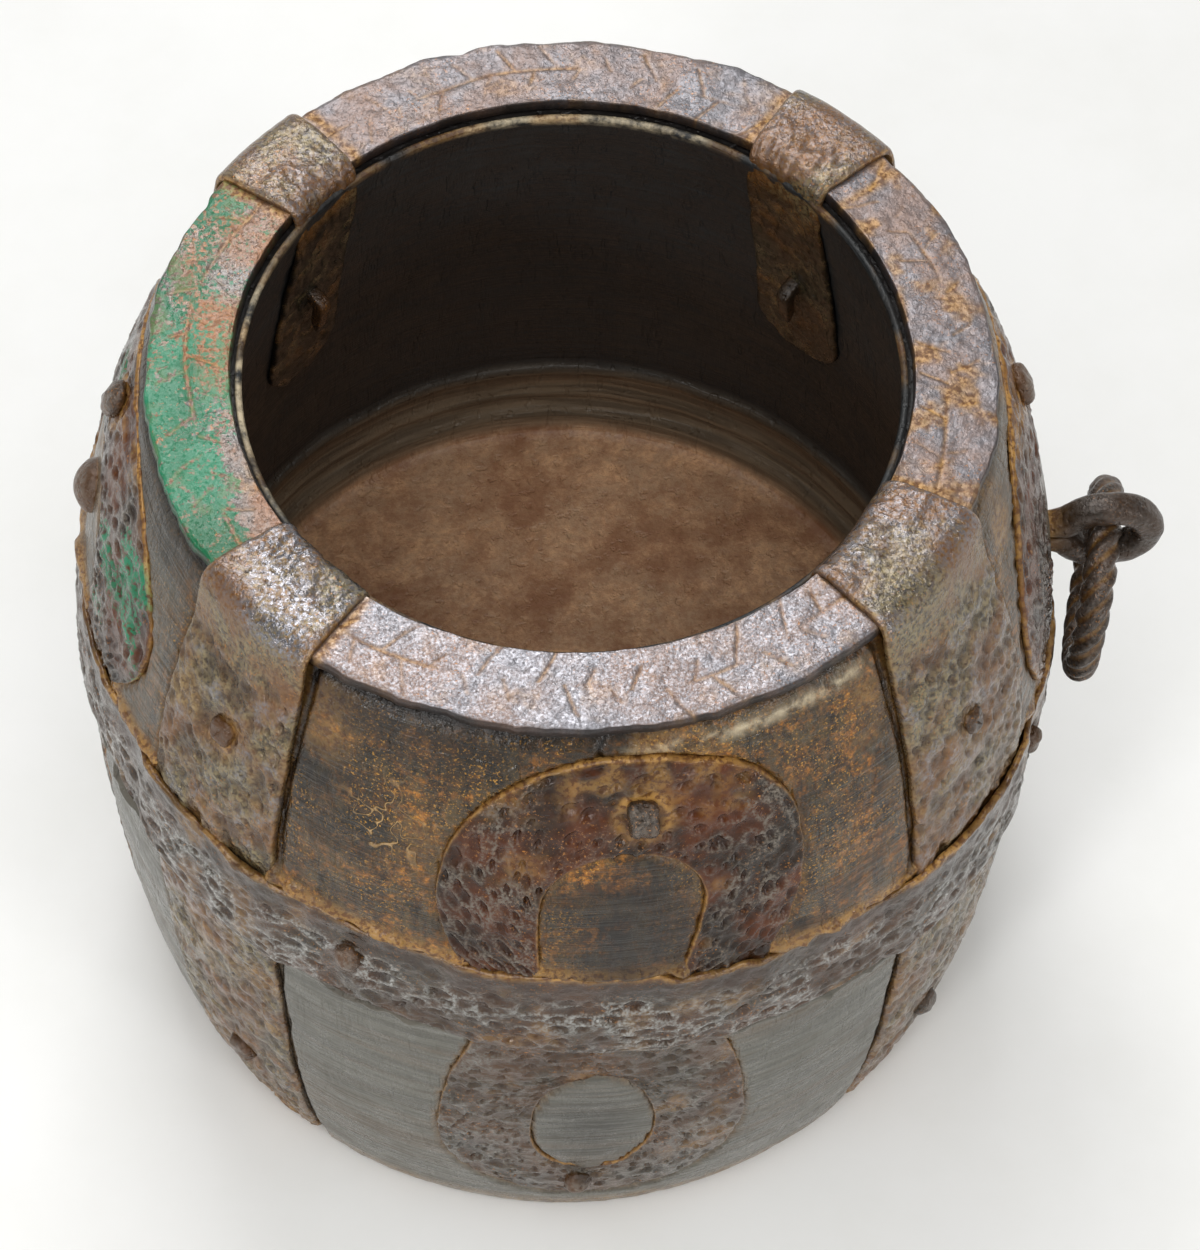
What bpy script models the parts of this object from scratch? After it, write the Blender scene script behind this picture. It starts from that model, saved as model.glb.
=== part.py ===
"""A turned wooden grain measure bound in hand-forged iron: a barrel-shaped wooden vessel with four rim plates, four straps folded over the rim, a belly band, four upper and four lower horseshoe plates, the nails that hold them, and a forged eye that carries a twisted iron ring.

The frame is in metres with +Z up. The flat underside of the wood lies on Z = 0 and the turning axis is the Z axis. Azimuths are in degrees, from 0 at the front (-Y) through 90 at the right (+X). Sizes below are in millimetres.
"""

import bmesh
import bpy
import numpy as np

for old in list(bpy.data.objects):
    bpy.data.objects.remove(old, do_unlink=True)

MM = 0.001

# Turned wooden body.
WOOD_HEIGHT = 139.5
BASE_RADIUS = 68.5
BELLY_RADIUS = 75.0
BELLY_HEIGHT = 75.0
RIM_RADIUS = 60.5
SHOULDER_POWER = 2.3
FOOT_POWER = 3.0
MOUTH_RADIUS = 47.6
INSIDE_RADIUS = 62.5
INSIDE_POWER = 1.7
FLOOR_HEIGHT = 42.0
FLOOR_STEPS = ((4.0, 1.8), (9.0, 0.9))  # height above the floor, step inwards
BASE_CHAMFER = 1.2
WOOD_SIDES = 60

# Iron work.
GAP = 0.3  # clearance between pieces that touch
RIM_PLATE_INSIDE = 48.4
RIM_PLATE_OUTSIDE = 62.0
RIM_PLATE_THICK = 2.0
RIM_PLATE_PLAY = 0.4  # degrees from each end to the middle of its strap
STRAP_THICK = 1.4
STRAP_FOOT = 3.0
STRAP_LEAVES = 8.0  # below the top of the wood, where a strap leaves the barrel for the rim plate
TONGUE_DROP = 51.5  # from the top of the wood to the tongue's end
TONGUE_ROUND = 9.0
TONGUE_LEAVES = 6.0  # below the top of the wood, where a tongue meets the wall
BAND_HEIGHT = 84.0
BAND_WIDTH = 22.5
BAND_THICK = 1.4
BAND_TILT = 7.0  # the band sits askew: this much lower on the tilt side
BAND_TILT_SIDE = 85.5
PLATE_THICK = 1.2

# azimuth, width in degrees, place of the nail through the rim end as a share of the way from band to rim, height of the foot nail
STRAPS = {
    "front_left": (-47.2, 19.5, 0.50, 24.5),
    "front_right": (52.0, 22.5, 0.45, 23.2),
    "back_right": (136.0, 17.0, 0.47, 24.0),
    "back_left": (-132.5, 15.5, 0.45, 24.0),
}
# azimuth, half width, drop from the wood's top, half width of the hollow, top of the hollow as a share of the way from band to top, nail azimuth, nail's share of the way from hollow to top
UPPER_CRESCENTS = {
    "front": (3.9, 26.5, 3.5, 12.0, 0.62, 6.2, 0.40),
    "right": (93.0, 33.0, 3.5, 13.5, 0.65, 93.0, 0.55),
    "back": (182.2, 28.0, 3.5, 12.5, 0.62, 182.2, 0.50),
    "left": (-90.7, 35.0, 3.0, 14.0, 0.56, -93.2, 0.53),
}
# azimuth, half width, half width at the band, bottom, half width of the hollow, bottom of the hollow, nail azimuth, nail height
LOWER_CRESCENTS = {
    "front": (1.2, 24.5, 16.0, 9.5, 9.4, 27.0, -0.2, 19.0),
    "right": (93.0, 24.5, 16.0, 9.5, 9.4, 27.0, 93.0, 18.5),
    "back": (182.2, 24.5, 16.0, 9.5, 9.4, 27.0, 182.2, 18.5),
    "left": (-90.7, 24.5, 16.0, 9.5, 9.4, 27.0, -90.7, 18.5),
}
CRESCENT_TUCK = 2.5  # how far short of the band's middle a leg ends
CRESCENT_WAIST = 0.36  # widest part of an upper crescent, as a share of the way from band to top
HOLLOW_CLOSES = 0.78  # share of its width that a lower hollow loses on its way to the band
CRESCENT_STEPS = 23
BAND_NAILS = {"front": -27.2, "right": 68.0, "back": 155.0, "left": -119.5}

NAIL_SHANK = 2.5
NAIL_HEAD = (6.0, 7.4, 2.2)  # width, height, thickness
NAIL_DEPTH = 8.0
NAIL_POINT = 3.0  # length of the taper
CLINCH_LENGTH = 8.0

STUD_AZIMUTH = -90.0
STUD_SHARE = 0.58  # of the way from the band to the top of the hollow
STUD_HEAD = (8.4, 3.6)  # across, thickness
STUD_SHANK = 4.0

EYE_AZIMUTH = 90.0
EYE_OVER_BAND = 6.7
EYE_BAR = 4.8
EYE_HOLE = (8.6, 6.4)  # radial, vertical
EYE_REACH = 10.1  # wood to the middle of the hole
LEG_THICK = 2.6
LEG_SPREAD = 1.7
LEG_CLINCH = 9.0
LEG_BEND = 2.2

RING_OUTSIDE = 33.5
RING_BAR = 5.4  # across the corners
RING_FLATS = 4.3  # across the flats
RING_TURNS = 6
RING_YAW = 12.0  # the ring hangs turned, its front edge towards the barrel

IRON_BROWN = (0.060, 0.040, 0.032, 1.0)
IRON_GREY = (0.110, 0.092, 0.090, 1.0)
IRON_DARK = (0.032, 0.024, 0.021, 1.0)
WOOD_BROWN = (0.085, 0.043, 0.024, 1.0)


def outer_radius(z):
    """Radius of the turned outside: a belly that falls away above and below it by a power of the distance."""
    z = np.asarray(z, float)
    up = np.clip((z - BELLY_HEIGHT) / (WOOD_HEIGHT - BELLY_HEIGHT), 0, None)
    down = np.clip((BELLY_HEIGHT - z) / BELLY_HEIGHT, 0, None)
    return BELLY_RADIUS - (BELLY_RADIUS - RIM_RADIUS) * up**SHOULDER_POWER - (BELLY_RADIUS - BASE_RADIUS) * down**FOOT_POWER


def inner_radius(z):
    """Radius of the hollow: widest at the floor and drawn in to the mouth."""
    up = np.clip((np.asarray(z, float) - FLOOR_HEIGHT) / (WOOD_HEIGHT - FLOOR_HEIGHT), 0, None)
    return INSIDE_RADIUS - (INSIDE_RADIUS - MOUTH_RADIUS) * up**INSIDE_POWER


def slope(radius, z):
    return (radius(z + 0.05) - radius(z - 0.05)) / 0.1


def outer_normal(z):
    """Outward unit normal (radial, vertical) of the outside at height z."""
    fall = slope(outer_radius, z)
    return np.stack([np.ones_like(fall), -fall], -1) / np.hypot(1, fall)[..., None]


def inner_normal(z):
    """Unit normal (radial, vertical) of the hollow's wall at height z, facing the axis."""
    fall = slope(inner_radius, z)
    return np.stack([-np.ones_like(fall), fall], -1) / np.hypot(1, fall)[..., None]


def band_middle(azimuth):
    return BAND_HEIGHT - BAND_TILT * np.cos(np.radians(np.asarray(azimuth, float) - BAND_TILT_SIDE))


def over_band(azimuth, rise):
    """Height of a point this far above the band's upper edge."""
    return float(band_middle(azimuth)) + BAND_WIDTH / 2 + rise


def crescent_heights(bay):
    """Heights of an upper crescent's top, of its hollow's top and of its nail."""
    azimuth, _, drop, _, share, _, nail_share = UPPER_CRESCENTS[bay]
    edge = over_band(azimuth, 0.0)
    top = WOOD_HEIGHT - drop
    hollow = edge + share * (top - edge)
    return top, hollow, hollow + nail_share * (top - hollow)


def place(azimuth, radius, z):
    """Points in space from azimuth in degrees, radius and height."""
    a = np.radians(azimuth)
    return np.stack(np.broadcast_arrays(radius * np.sin(a), -radius * np.cos(a), z), -1)


def material(name, colour, metallic, roughness):
    made = bpy.data.materials.new(name)
    made.use_nodes = True
    shader = made.node_tree.nodes["Principled BSDF"]
    shader.inputs["Base Color"].default_value = colour
    shader.inputs["Metallic"].default_value = metallic
    shader.inputs["Roughness"].default_value = roughness
    return made


WOOD = material("old_wood", WOOD_BROWN, 0.0, 0.65)
RIM_IRON = material("rim_iron", IRON_GREY, 0.85, 0.45)
PLATE_IRON = material("plate_iron", IRON_BROWN, 0.8, 0.55)
NAIL_IRON = material("nail_iron", IRON_DARK, 0.8, 0.6)


def add_object(name, points, faces, of=None):
    """A named object from points in millimetres, with its faces turned outwards."""
    mesh = bpy.data.meshes.new(name)
    mesh.from_pydata((np.asarray(points, float).reshape(-1, 3) * MM).tolist(), [], faces)
    shape = bmesh.new()
    shape.from_mesh(mesh)
    bmesh.ops.recalc_face_normals(shape, faces=shape.faces)
    if shape.calc_volume(signed=True) < 0:
        bmesh.ops.reverse_faces(shape, faces=shape.faces)
    shape.to_mesh(mesh)
    shape.free()
    made = bpy.data.objects.new(name, mesh)
    bpy.context.scene.collection.objects.link(made)
    if of is None:
        made.hide_render = True
        made.display_type = "WIRE"
    else:
        mesh.materials.append(of)
    return made


def grid_faces(index):
    """Quads of a grid of point numbers."""
    return np.stack([index[:-1, :-1], index[1:, :-1], index[1:, 1:], index[:-1, 1:]], -1).reshape(-1, 4).tolist()


def sheet(name, outer, under, of):
    """A closed plate between two grids of points that match."""
    rows, columns = outer.shape[:2]
    top = np.arange(rows * columns).reshape(rows, columns)
    low = top + rows * columns
    rim = np.concatenate([top[0, :-1], top[:-1, -1], top[-1, :0:-1], top[:0:-1, 0]])
    edge = np.stack([np.append(rim, rim[0]), np.append(rim, rim[0]) + rows * columns], -1)
    faces = grid_faces(top) + grid_faces(low[:, ::-1]) + grid_faces(edge)
    return add_object(name, np.concatenate([outer.reshape(-1, 3), under.reshape(-1, 3)]), faces, of)


def tube(rows, closed):
    """Faces of rings of points, capped at both ends, or joined end to end."""
    count, around = rows
    index = np.arange(count * around).reshape(count, around)
    index = np.concatenate([index, index[:, :1]], 1)
    if closed:
        return grid_faces(np.concatenate([index, index[:1]]))
    return grid_faces(index) + [index[0, :-1].tolist(), index[-1, :-1][::-1].tolist()]


def loft(name, rings, of=None, closed=False):
    rings = np.asarray(rings, float)
    return add_object(name, rings, tube(rings.shape[:2], closed), of)


def cut(target, *cutters):
    for cutter in cutters:
        boolean = target.modifiers.new("hole", "BOOLEAN")
        boolean.operation = "DIFFERENCE"
        boolean.solver = "EXACT"
        boolean.object = cutter


def section(corner, sides=8):
    """Unit outline of a bar: corner 0 is round, and larger values are squarer."""
    a = 2 * np.pi * (np.arange(sides) + 0.5) / sides
    flat = np.maximum(abs(np.cos(a)), abs(np.sin(a)))
    return np.stack([np.cos(a), np.sin(a)], -1) / (flat**corner)[:, None]


def ring_at(centre, across, along, half_across, half_along, outline):
    return centre + outline[:, :1] * half_across * across + outline[:, 1:] * half_along * along


def side_way(azimuth):
    """The level direction along the surface, towards larger azimuth."""
    a = np.radians(azimuth)
    return np.array([np.cos(a), np.sin(a), 0.0])


def space(azimuth, pair):
    """A (radial, vertical) direction or point of the plane at this azimuth, in space."""
    a = np.radians(azimuth)
    return np.array([pair[0] * np.sin(a), -pair[0] * np.cos(a), pair[1]])


wood_cutters = []


def nail(name, azimuth, z, lift, depth=NAIL_DEPTH, head=NAIL_HEAD):
    """A forged nail square to the barrel, its head on iron that stands lift off the wood, and the clearance hole for it."""
    out = outer_normal(z)
    way, up = space(azimuth, out), space(azimuth, (-out[1], out[0]))
    across = side_way(azimuth)
    foot = space(azimuth, (outer_radius(z), z))
    round_square = section(0.6)
    square = section(1.0)
    steps = (
        (lift + GAP + head[2], 0.55, 0.6, round_square),
        (lift + GAP + 0.55 * head[2], 0.92, 0.92, round_square),
        (lift + GAP, 1.0, 1.0, round_square),
    )
    rings = [ring_at(foot + way * h, across, up, a * head[0] / 2, b * head[1] / 2, o) for h, a, b, o in steps]
    half = NAIL_SHANK / 2 / np.cos(np.pi / 8)
    for h, s in ((lift + GAP, 1.0), (-depth + NAIL_POINT, 0.9), (-depth, 0.3)):
        rings.append(ring_at(foot + way * h, across, up, s * half, s * half, square))
    made = loft(name, rings, NAIL_IRON)
    wide = half + GAP
    hole = [ring_at(foot + way * h, across, up, wide, wide, square) for h in (lift + NAIL_HEAD[2] / 2, -depth - 2 * GAP)]
    wood_cutters.append(hole)
    return made, loft("hole_" + name, hole)


def through_nail(name, azimuth, z):
    """A nail driven through a strap, the wall and the strap's tongue, its point hammered down over the tongue."""
    lift = GAP + STRAP_THICK
    out = outer_normal(z)
    way, up = space(azimuth, out), space(azimuth, (-out[1], out[0]))
    across = side_way(azimuth)
    start = np.array([float(outer_radius(z)), z])
    steps = np.linspace(0, 40, 4001)
    walk = start - steps[:, None] * out
    length = steps[np.argmax(walk[:, 0] < inner_radius(walk[:, 1]))]
    exit_z = float(walk[np.argmax(walk[:, 0] < inner_radius(walk[:, 1])), 1])
    foot = space(azimuth, start)
    half = NAIL_SHANK / 2 / np.cos(np.pi / 8)
    round_square, square = section(0.6), section(1.0)
    rings = [
        ring_at(foot + way * h, across, up, a * NAIL_HEAD[0] / 2, b * NAIL_HEAD[1] / 2, round_square)
        for h, a, b in ((lift + GAP + NAIL_HEAD[2], 0.55, 0.6), (lift + GAP + 0.55 * NAIL_HEAD[2], 0.92, 0.92), (lift + GAP, 1.0, 1.0))
    ]
    rings.append(ring_at(foot + way * (lift + GAP), across, up, half, half, square))
    face = inner_normal(exit_z)
    down = np.array([face[1], -face[0]])
    down = down if down[1] < 0 else -down
    bend = start - out * (length + (GAP + STRAP_THICK + GAP + 0.55 * NAIL_SHANK) / float(-(out @ face)))
    lean = space(azimuth, down)
    corner = lean - way
    centre = space(azimuth, bend)
    rings.append(ring_at(foot - way * (length + GAP), across, up, half, half, square))
    cross = np.cross(across, corner / np.linalg.norm(corner))
    cross = cross if cross @ up > 0 else -cross
    rings.append(ring_at(centre, across, cross, half, 1.35 * half, square))
    flat = np.cross(across, lean)
    flat = flat if flat @ cross > 0 else -flat
    rings.append(ring_at(centre + lean * 0.6 * CLINCH_LENGTH, across, flat, 0.95 * half, 0.9 * half, square))
    rings.append(ring_at(centre + lean * CLINCH_LENGTH, across, flat, 0.4 * half, 0.5 * half, square))
    made = loft(name, rings, NAIL_IRON)
    wide = half + GAP
    hole = [ring_at(foot + way * h, across, up, wide, wide, square) for h in (lift + NAIL_HEAD[2] / 2, -length - 4 * GAP - STRAP_THICK)]
    wood_cutters.append(hole)
    return made, loft("hole_" + name, hole)


def wooden_body():
    """The turned body: its outline from the middle of the base round to the middle of the floor, swept about the axis."""
    outside = np.linspace(BASE_CHAMFER, WOOD_HEIGHT, 16)
    ledges = sorted(FLOOR_STEPS, reverse=True)
    inside = np.linspace(WOOD_HEIGHT, FLOOR_HEIGHT + ledges[0][0], 9)
    line = [(BASE_RADIUS - BASE_CHAMFER, 0.0)]
    line += zip(outer_radius(outside), outside)
    line += zip(inner_radius(inside), inside)
    inset = 0.0
    for height, step in ledges:
        line.append((float(inner_radius(FLOOR_HEIGHT + height)) - inset - step, FLOOR_HEIGHT + height))
        inset += step
        below = next((h for h, _ in ledges if h < height), 0.0)
        line.append((float(inner_radius(FLOOR_HEIGHT + below)) - inset, FLOOR_HEIGHT + below))
    line = np.array(line)
    around = np.arange(WOOD_SIDES) * 360.0 / WOOD_SIDES
    rings = place(around[None, :], line[:, :1], line[:, 1:])
    count = len(line)
    index = np.arange(count * WOOD_SIDES).reshape(count, WOOD_SIDES)
    index = np.concatenate([index, index[:, :1]], 1)
    faces = grid_faces(index)
    bottom, floor = count * WOOD_SIDES, count * WOOD_SIDES + 1
    faces += [(bottom, int(b), int(a)) for a, b in zip(index[0, :-1], index[0, 1:])]
    faces += [(floor, int(a), int(b)) for a, b in zip(index[-1, :-1], index[-1, 1:])]
    points = np.concatenate([rings.reshape(-1, 3), [(0, 0, 0), (0, 0, FLOOR_HEIGHT)]])
    return add_object("wooden_body", points, faces, WOOD)


def rim_plate(name, start, end):
    """A flat arc of plate on the top of the wood, from one strap to the next."""
    around = np.linspace(start, end, max(8, int((end - start) / 5.5)))[:, None]
    radius = np.array([[RIM_PLATE_INSIDE, 0.5 * (RIM_PLATE_INSIDE + RIM_PLATE_OUTSIDE), RIM_PLATE_OUTSIDE]])
    low = WOOD_HEIGHT + GAP
    return sheet(name, place(around, radius, low + RIM_PLATE_THICK), place(around, radius, low), RIM_IRON)


def strap(name, azimuth, width):
    """A strip that runs from the foot up the outside, folds over the rim plates and goes down inside as a tongue with a round end."""
    top = WOOD_HEIGHT + GAP + RIM_PLATE_THICK
    climb = np.linspace(STRAP_FOOT, WOOD_HEIGHT - STRAP_LEAVES, 14)
    base = [np.stack([outer_radius(climb), climb], -1)]
    normal = [outer_normal(climb)]
    turn = np.radians(np.linspace(0, 90, 4))
    quarter = np.stack([np.cos(turn), np.sin(turn)], -1)
    base += [[(RIM_PLATE_OUTSIDE, WOOD_HEIGHT)], np.full((4, 2), (RIM_PLATE_OUTSIDE, top)), [(0.5 * (RIM_PLATE_INSIDE + RIM_PLATE_OUTSIDE), top)], np.full((4, 2), (RIM_PLATE_INSIDE, top)), [(MOUTH_RADIUS, WOOD_HEIGHT)]]
    normal += [[(1.0, 0.0)], quarter, [(0.0, 1.0)], quarter[::-1] * (-1, 1), [(-1.0, 0.0)]]
    end = WOOD_HEIGHT - TONGUE_DROP
    fall = np.linspace(WOOD_HEIGHT - TONGUE_LEAVES, end, 9)
    base.append(np.stack([inner_radius(fall), fall], -1))
    normal.append(inner_normal(fall))
    base, normal = np.concatenate(base), np.concatenate(normal)
    half = np.full(len(base), width / 2)
    left = np.clip(1 - (fall - end) / TONGUE_ROUND, 0, 1)
    half[-len(fall) :] *= np.sqrt(1 - 0.94 * left**2)
    across = azimuth + half[:, None] * np.linspace(-1, 1, 5)
    under = base + GAP * normal
    outer = base + (GAP + STRAP_THICK) * normal
    return sheet(name, place(across, outer[:, :1], outer[:, 1:]), place(across, under[:, :1], under[:, 1:]), PLATE_IRON)


def belly_band():
    """A hoop over the straps and the legs of the horseshoe plates. It follows the barrel and sits askew."""
    around = np.arange(60) * 6.0
    z = band_middle(around)[:, None] + BAND_WIDTH * np.array([[-0.5, -0.17, 0.17, 0.5, 0.5, 0.17, -0.17, -0.5]])
    lift = GAP + STRAP_THICK + GAP + BAND_THICK * np.array([[1, 1, 1, 1, 0, 0, 0, 0]])
    rings = place(around[:, None], outer_radius(z) + lift, z)
    return loft("belly_band", rings, PLATE_IRON, closed=True)


def on_barrel(azimuth, level, z, lift):
    """Points on the barrel at this distance along it from a middle azimuth, standing off the wood."""
    radius = outer_radius(z)
    return place(azimuth + np.degrees(level / radius), radius + lift, z)


def horseshoe(name, azimuth, outline, hollow):
    """A plate between two matching lines of (distance along, height), bent to the barrel."""
    share = np.linspace(0, 1, 4)[None, :, None]
    flat = outline[:, None] * (1 - share) + hollow[:, None] * share
    outer = on_barrel(azimuth, flat[..., 0], flat[..., 1], GAP + PLATE_THICK)
    under = on_barrel(azimuth, flat[..., 0], flat[..., 1], GAP)
    return sheet(name, outer, under, PLATE_IRON)


def even(line, count):
    """Points spaced evenly along a line of points."""
    run = np.concatenate([[0], np.cumsum(np.linalg.norm(np.diff(line, axis=0), axis=1))])
    at = np.linspace(0, run[-1], count)
    return np.stack([np.interp(at, run, line[:, 0]), np.interp(at, run, line[:, 1])], -1)


def upper_crescent(bay):
    """A horseshoe with its round end up and its legs under the band: an elliptical outline drawn in at the band, and a round-topped hollow."""
    azimuth, half, _, hollow = UPPER_CRESCENTS[bay][:4]
    top, hollow_top, _ = crescent_heights(bay)
    edge = over_band(azimuth, 0.0)
    foot = float(band_middle(azimuth)) + CRESCENT_TUCK
    middle = edge + CRESCENT_WAIST * (top - edge)
    limit = np.arccos((edge - middle) / (top - middle))
    turn = np.linspace(-limit, limit, 41)
    outline = np.stack([half * np.sin(turn), middle + (top - middle) * np.cos(turn)], -1)
    outline = np.concatenate([[(outline[0, 0], foot)], outline, [(outline[-1, 0], foot)]])
    bend = np.radians(np.linspace(-90, 90, 21))
    inside = np.stack([hollow * np.sin(bend), hollow_top - hollow + hollow * np.cos(bend)], -1)
    inside = np.concatenate([[(-hollow, foot)], inside, [(hollow, foot)]])
    return horseshoe("upper_crescent_" + bay, azimuth, even(outline, CRESCENT_STEPS), even(inside, CRESCENT_STEPS))


def lower_crescent(name, azimuth, half, neck, bottom, hollow, hollow_bottom, *_):
    """A horseshoe with its round end down, drawn in towards the band."""
    foot = float(band_middle(azimuth)) - CRESCENT_TUCK
    turn = np.radians(np.linspace(-90, 90, 21))
    rise = np.linspace(1, 0, 8)[:-1]
    middle = bottom + 1.12 * half
    spring = hollow_bottom + 1.5 * hollow
    outline = np.stack([half * np.sin(turn), middle - (middle - bottom) * np.cos(turn)], -1)
    inside = np.stack([hollow * np.sin(turn), spring - (spring - hollow_bottom) * np.cos(turn)], -1)
    leg_out = np.stack([-half * np.cos(np.arccos(neck / half) * rise), middle + (foot - middle) * rise], -1)
    leg_in = np.stack([-hollow * (1 - HOLLOW_CLOSES * rise**1.3), spring + (foot - spring) * rise], -1)
    mirror = np.array([-1.0, 1.0])
    outline = np.concatenate([leg_out, outline, leg_out[::-1] * mirror])
    inside = np.concatenate([leg_in, inside, leg_in[::-1] * mirror])
    return horseshoe(name, azimuth, even(outline, CRESCENT_STEPS), even(inside, CRESCENT_STEPS))


def left_stud():
    """A domed stud straight into the wood of the left bay."""
    low = over_band(STUD_AZIMUTH, 0.0)
    z = low + STUD_SHARE * (crescent_heights("left")[1] - low)
    out = outer_normal(z)
    way, up = space(STUD_AZIMUTH, out), space(STUD_AZIMUTH, (-out[1], out[0]))
    across = side_way(STUD_AZIMUTH)
    foot = space(STUD_AZIMUTH, (outer_radius(z), z))
    circle = section(0.0, 12)
    radius, thick = STUD_HEAD[0] / 2, STUD_HEAD[1]
    shape = [(GAP + thick * np.sin(t), radius * np.cos(t)) for t in np.radians((80, 50, 25, 0))]
    shape += [(GAP, STUD_SHANK / 2), (-NAIL_DEPTH, STUD_SHANK / 2 - 0.4)]
    made = loft("left_stud", [ring_at(foot + way * h, across, up, r, r, circle) for h, r in shape], NAIL_IRON)
    wide = STUD_SHANK / 2 / np.cos(np.pi / 12) + GAP
    wood_cutters.append([ring_at(foot + way * h, across, up, wide, wide, circle) for h in (STUD_HEAD[1] / 2, -NAIL_DEPTH - 2 * GAP)])
    return made


def eye_staple():
    """A bar bent into an eye, its two flattened legs side by side through the wall and splayed over the inside."""
    z = over_band(EYE_AZIMUTH, EYE_OVER_BAND)
    skin = float(outer_radius(z))
    wall = skin - float(inner_radius(z))
    long, tall = (EYE_HOLE[0] + EYE_BAR) / 2, (EYE_HOLE[1] + EYE_BAR) / 2
    start = np.radians(180 - 26)
    turn = np.linspace(start, -start, 25)
    loop = np.stack([EYE_REACH + long * np.cos(turn), tall * np.sin(turn)], -1)
    face = inner_normal(z)
    rise = np.array([-face[1], face[0]])
    rise = rise if rise[1] > 0 else -rise
    bend = np.array([-wall, 0.0]) + face * (GAP + LEG_THICK / 2)
    upper = np.array([bend + rise * (LEG_CLINCH + LEG_SPREAD), bend + rise * (LEG_SPREAD + LEG_BEND), bend + rise * (LEG_SPREAD + GAP) + (2 * GAP, 0), (-wall + LEG_BEND / 2, LEG_SPREAD), (-0.5 * wall, LEG_SPREAD), (2 * GAP, LEG_SPREAD)])
    lower = np.array([bend - rise * (LEG_CLINCH + LEG_SPREAD), bend - rise * (LEG_SPREAD + LEG_BEND), bend - rise * (LEG_SPREAD + GAP) + (2 * GAP, 0), (-wall + LEG_BEND / 2, -LEG_SPREAD), (-0.5 * wall, -LEG_SPREAD), (2 * GAP, -LEG_SPREAD)])[::-1]
    path = np.concatenate([upper, loop, lower])
    ahead = np.gradient(path, axis=0)
    ahead /= np.linalg.norm(ahead, axis=1, keepdims=True)
    in_plane = np.stack([-ahead[:, 1], ahead[:, 0]], -1)
    full = np.concatenate([np.zeros(6), np.clip(np.minimum(np.arange(25), np.arange(24, -1, -1)) / 3.0, 0, 1), np.zeros(6)])
    half_plane = LEG_THICK / 2 + full * (EYE_BAR - LEG_THICK) / 2
    half_side = 0.46 * EYE_BAR + full * 0.04 * EYE_BAR
    half_plane[[0, -1]] *= 0.6
    across = side_way(EYE_AZIMUTH)
    circle = section(0.15, 10)
    rings = []
    for spot, out, a, b in zip(path, in_plane, half_side, half_plane):
        rings.append(ring_at(space(EYE_AZIMUTH, (skin + spot[0], z + spot[1])), across, space(EYE_AZIMUTH, out), a, b, circle))
    made = loft("eye_staple", rings, PLATE_IRON)
    wide = (LEG_SPREAD + LEG_THICK / 2 + 2 * GAP) / np.cos(np.pi / 16)
    middle = [space(EYE_AZIMUTH, (skin + h, z)) for h in (EYE_REACH - EYE_HOLE[0] / 2, -wall - LEG_CLINCH / 2)]
    wood_cutters.append([ring_at(m, across, np.array([0.0, 0.0, 1.0]), wide, wide, section(0.0, 16)) for m in middle])
    return made


def twisted_ring():
    """A square bar twisted along its length and bent into a ring that hangs in the eye."""
    steps = 80
    middle = RING_OUTSIDE / 2 - RING_BAR / 2
    z = over_band(EYE_AZIMUTH, EYE_OVER_BAND)
    hang = np.array([float(outer_radius(z)) + EYE_REACH, z - middle])
    turn = 2 * np.pi * np.arange(steps) / steps
    corner = np.arange(8)[None, :] * np.pi / 4 + (RING_TURNS * turn)[:, None]
    reach = np.where(np.arange(8) % 2 == 0, RING_BAR / 2, RING_FLATS / 2)[None, :]
    radial = middle + reach * np.cos(corner)
    aside = reach * np.sin(corner)
    yaw = np.radians(RING_YAW)
    along, out = side_way(EYE_AZIMUTH), space(EYE_AZIMUTH, (1.0, 0.0))
    across = np.cos(yaw) * along + np.sin(yaw) * out
    level = np.cos(yaw) * out - np.sin(yaw) * along
    centre = space(EYE_AZIMUTH, hang)
    rings = centre + (radial * np.sin(turn)[:, None])[..., None] * across + (radial * np.cos(turn)[:, None])[..., None] * np.array([0.0, 0.0, 1.0]) + aside[..., None] * level
    return loft("twisted_ring", rings, PLATE_IRON, closed=True)


body = wooden_body()
bays = {"front": ("front_left", "front_right"), "right": ("front_right", "back_right"), "back": ("back_right", "back_left"), "left": ("back_left", "front_left")}
for bay, (first, last) in bays.items():
    start, end = STRAPS[first][0], STRAPS[last][0]
    rim_plate("rim_plate_" + bay, start + RIM_PLATE_PLAY, start + (end - start) % 360 - RIM_PLATE_PLAY)
for side, (azimuth, width, share, low) in STRAPS.items():
    piece = strap("strap_" + side, azimuth, width)
    edge = over_band(azimuth, 0.0)
    cut(piece, through_nail("strap_nail_" + side, azimuth, edge + share * (WOOD_HEIGHT - edge))[1], nail("foot_nail_" + side, azimuth, low, GAP + STRAP_THICK)[1])
for bay, sizes in UPPER_CRESCENTS.items():
    cut(upper_crescent(bay), nail("upper_nail_" + bay, sizes[-2], crescent_heights(bay)[2], GAP + PLATE_THICK)[1])
for bay, sizes in LOWER_CRESCENTS.items():
    piece = lower_crescent("lower_crescent_" + bay, *sizes)
    cut(piece, nail("lower_nail_" + bay, sizes[-2], sizes[-1], GAP + PLATE_THICK)[1])
band = belly_band()
for bay, azimuth in BAND_NAILS.items():
    cut(band, nail("band_nail_" + bay, azimuth, float(band_middle(azimuth)) + 2.0, GAP + STRAP_THICK + GAP + BAND_THICK)[1])
left_stud()
eye_staple()
twisted_ring()

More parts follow.
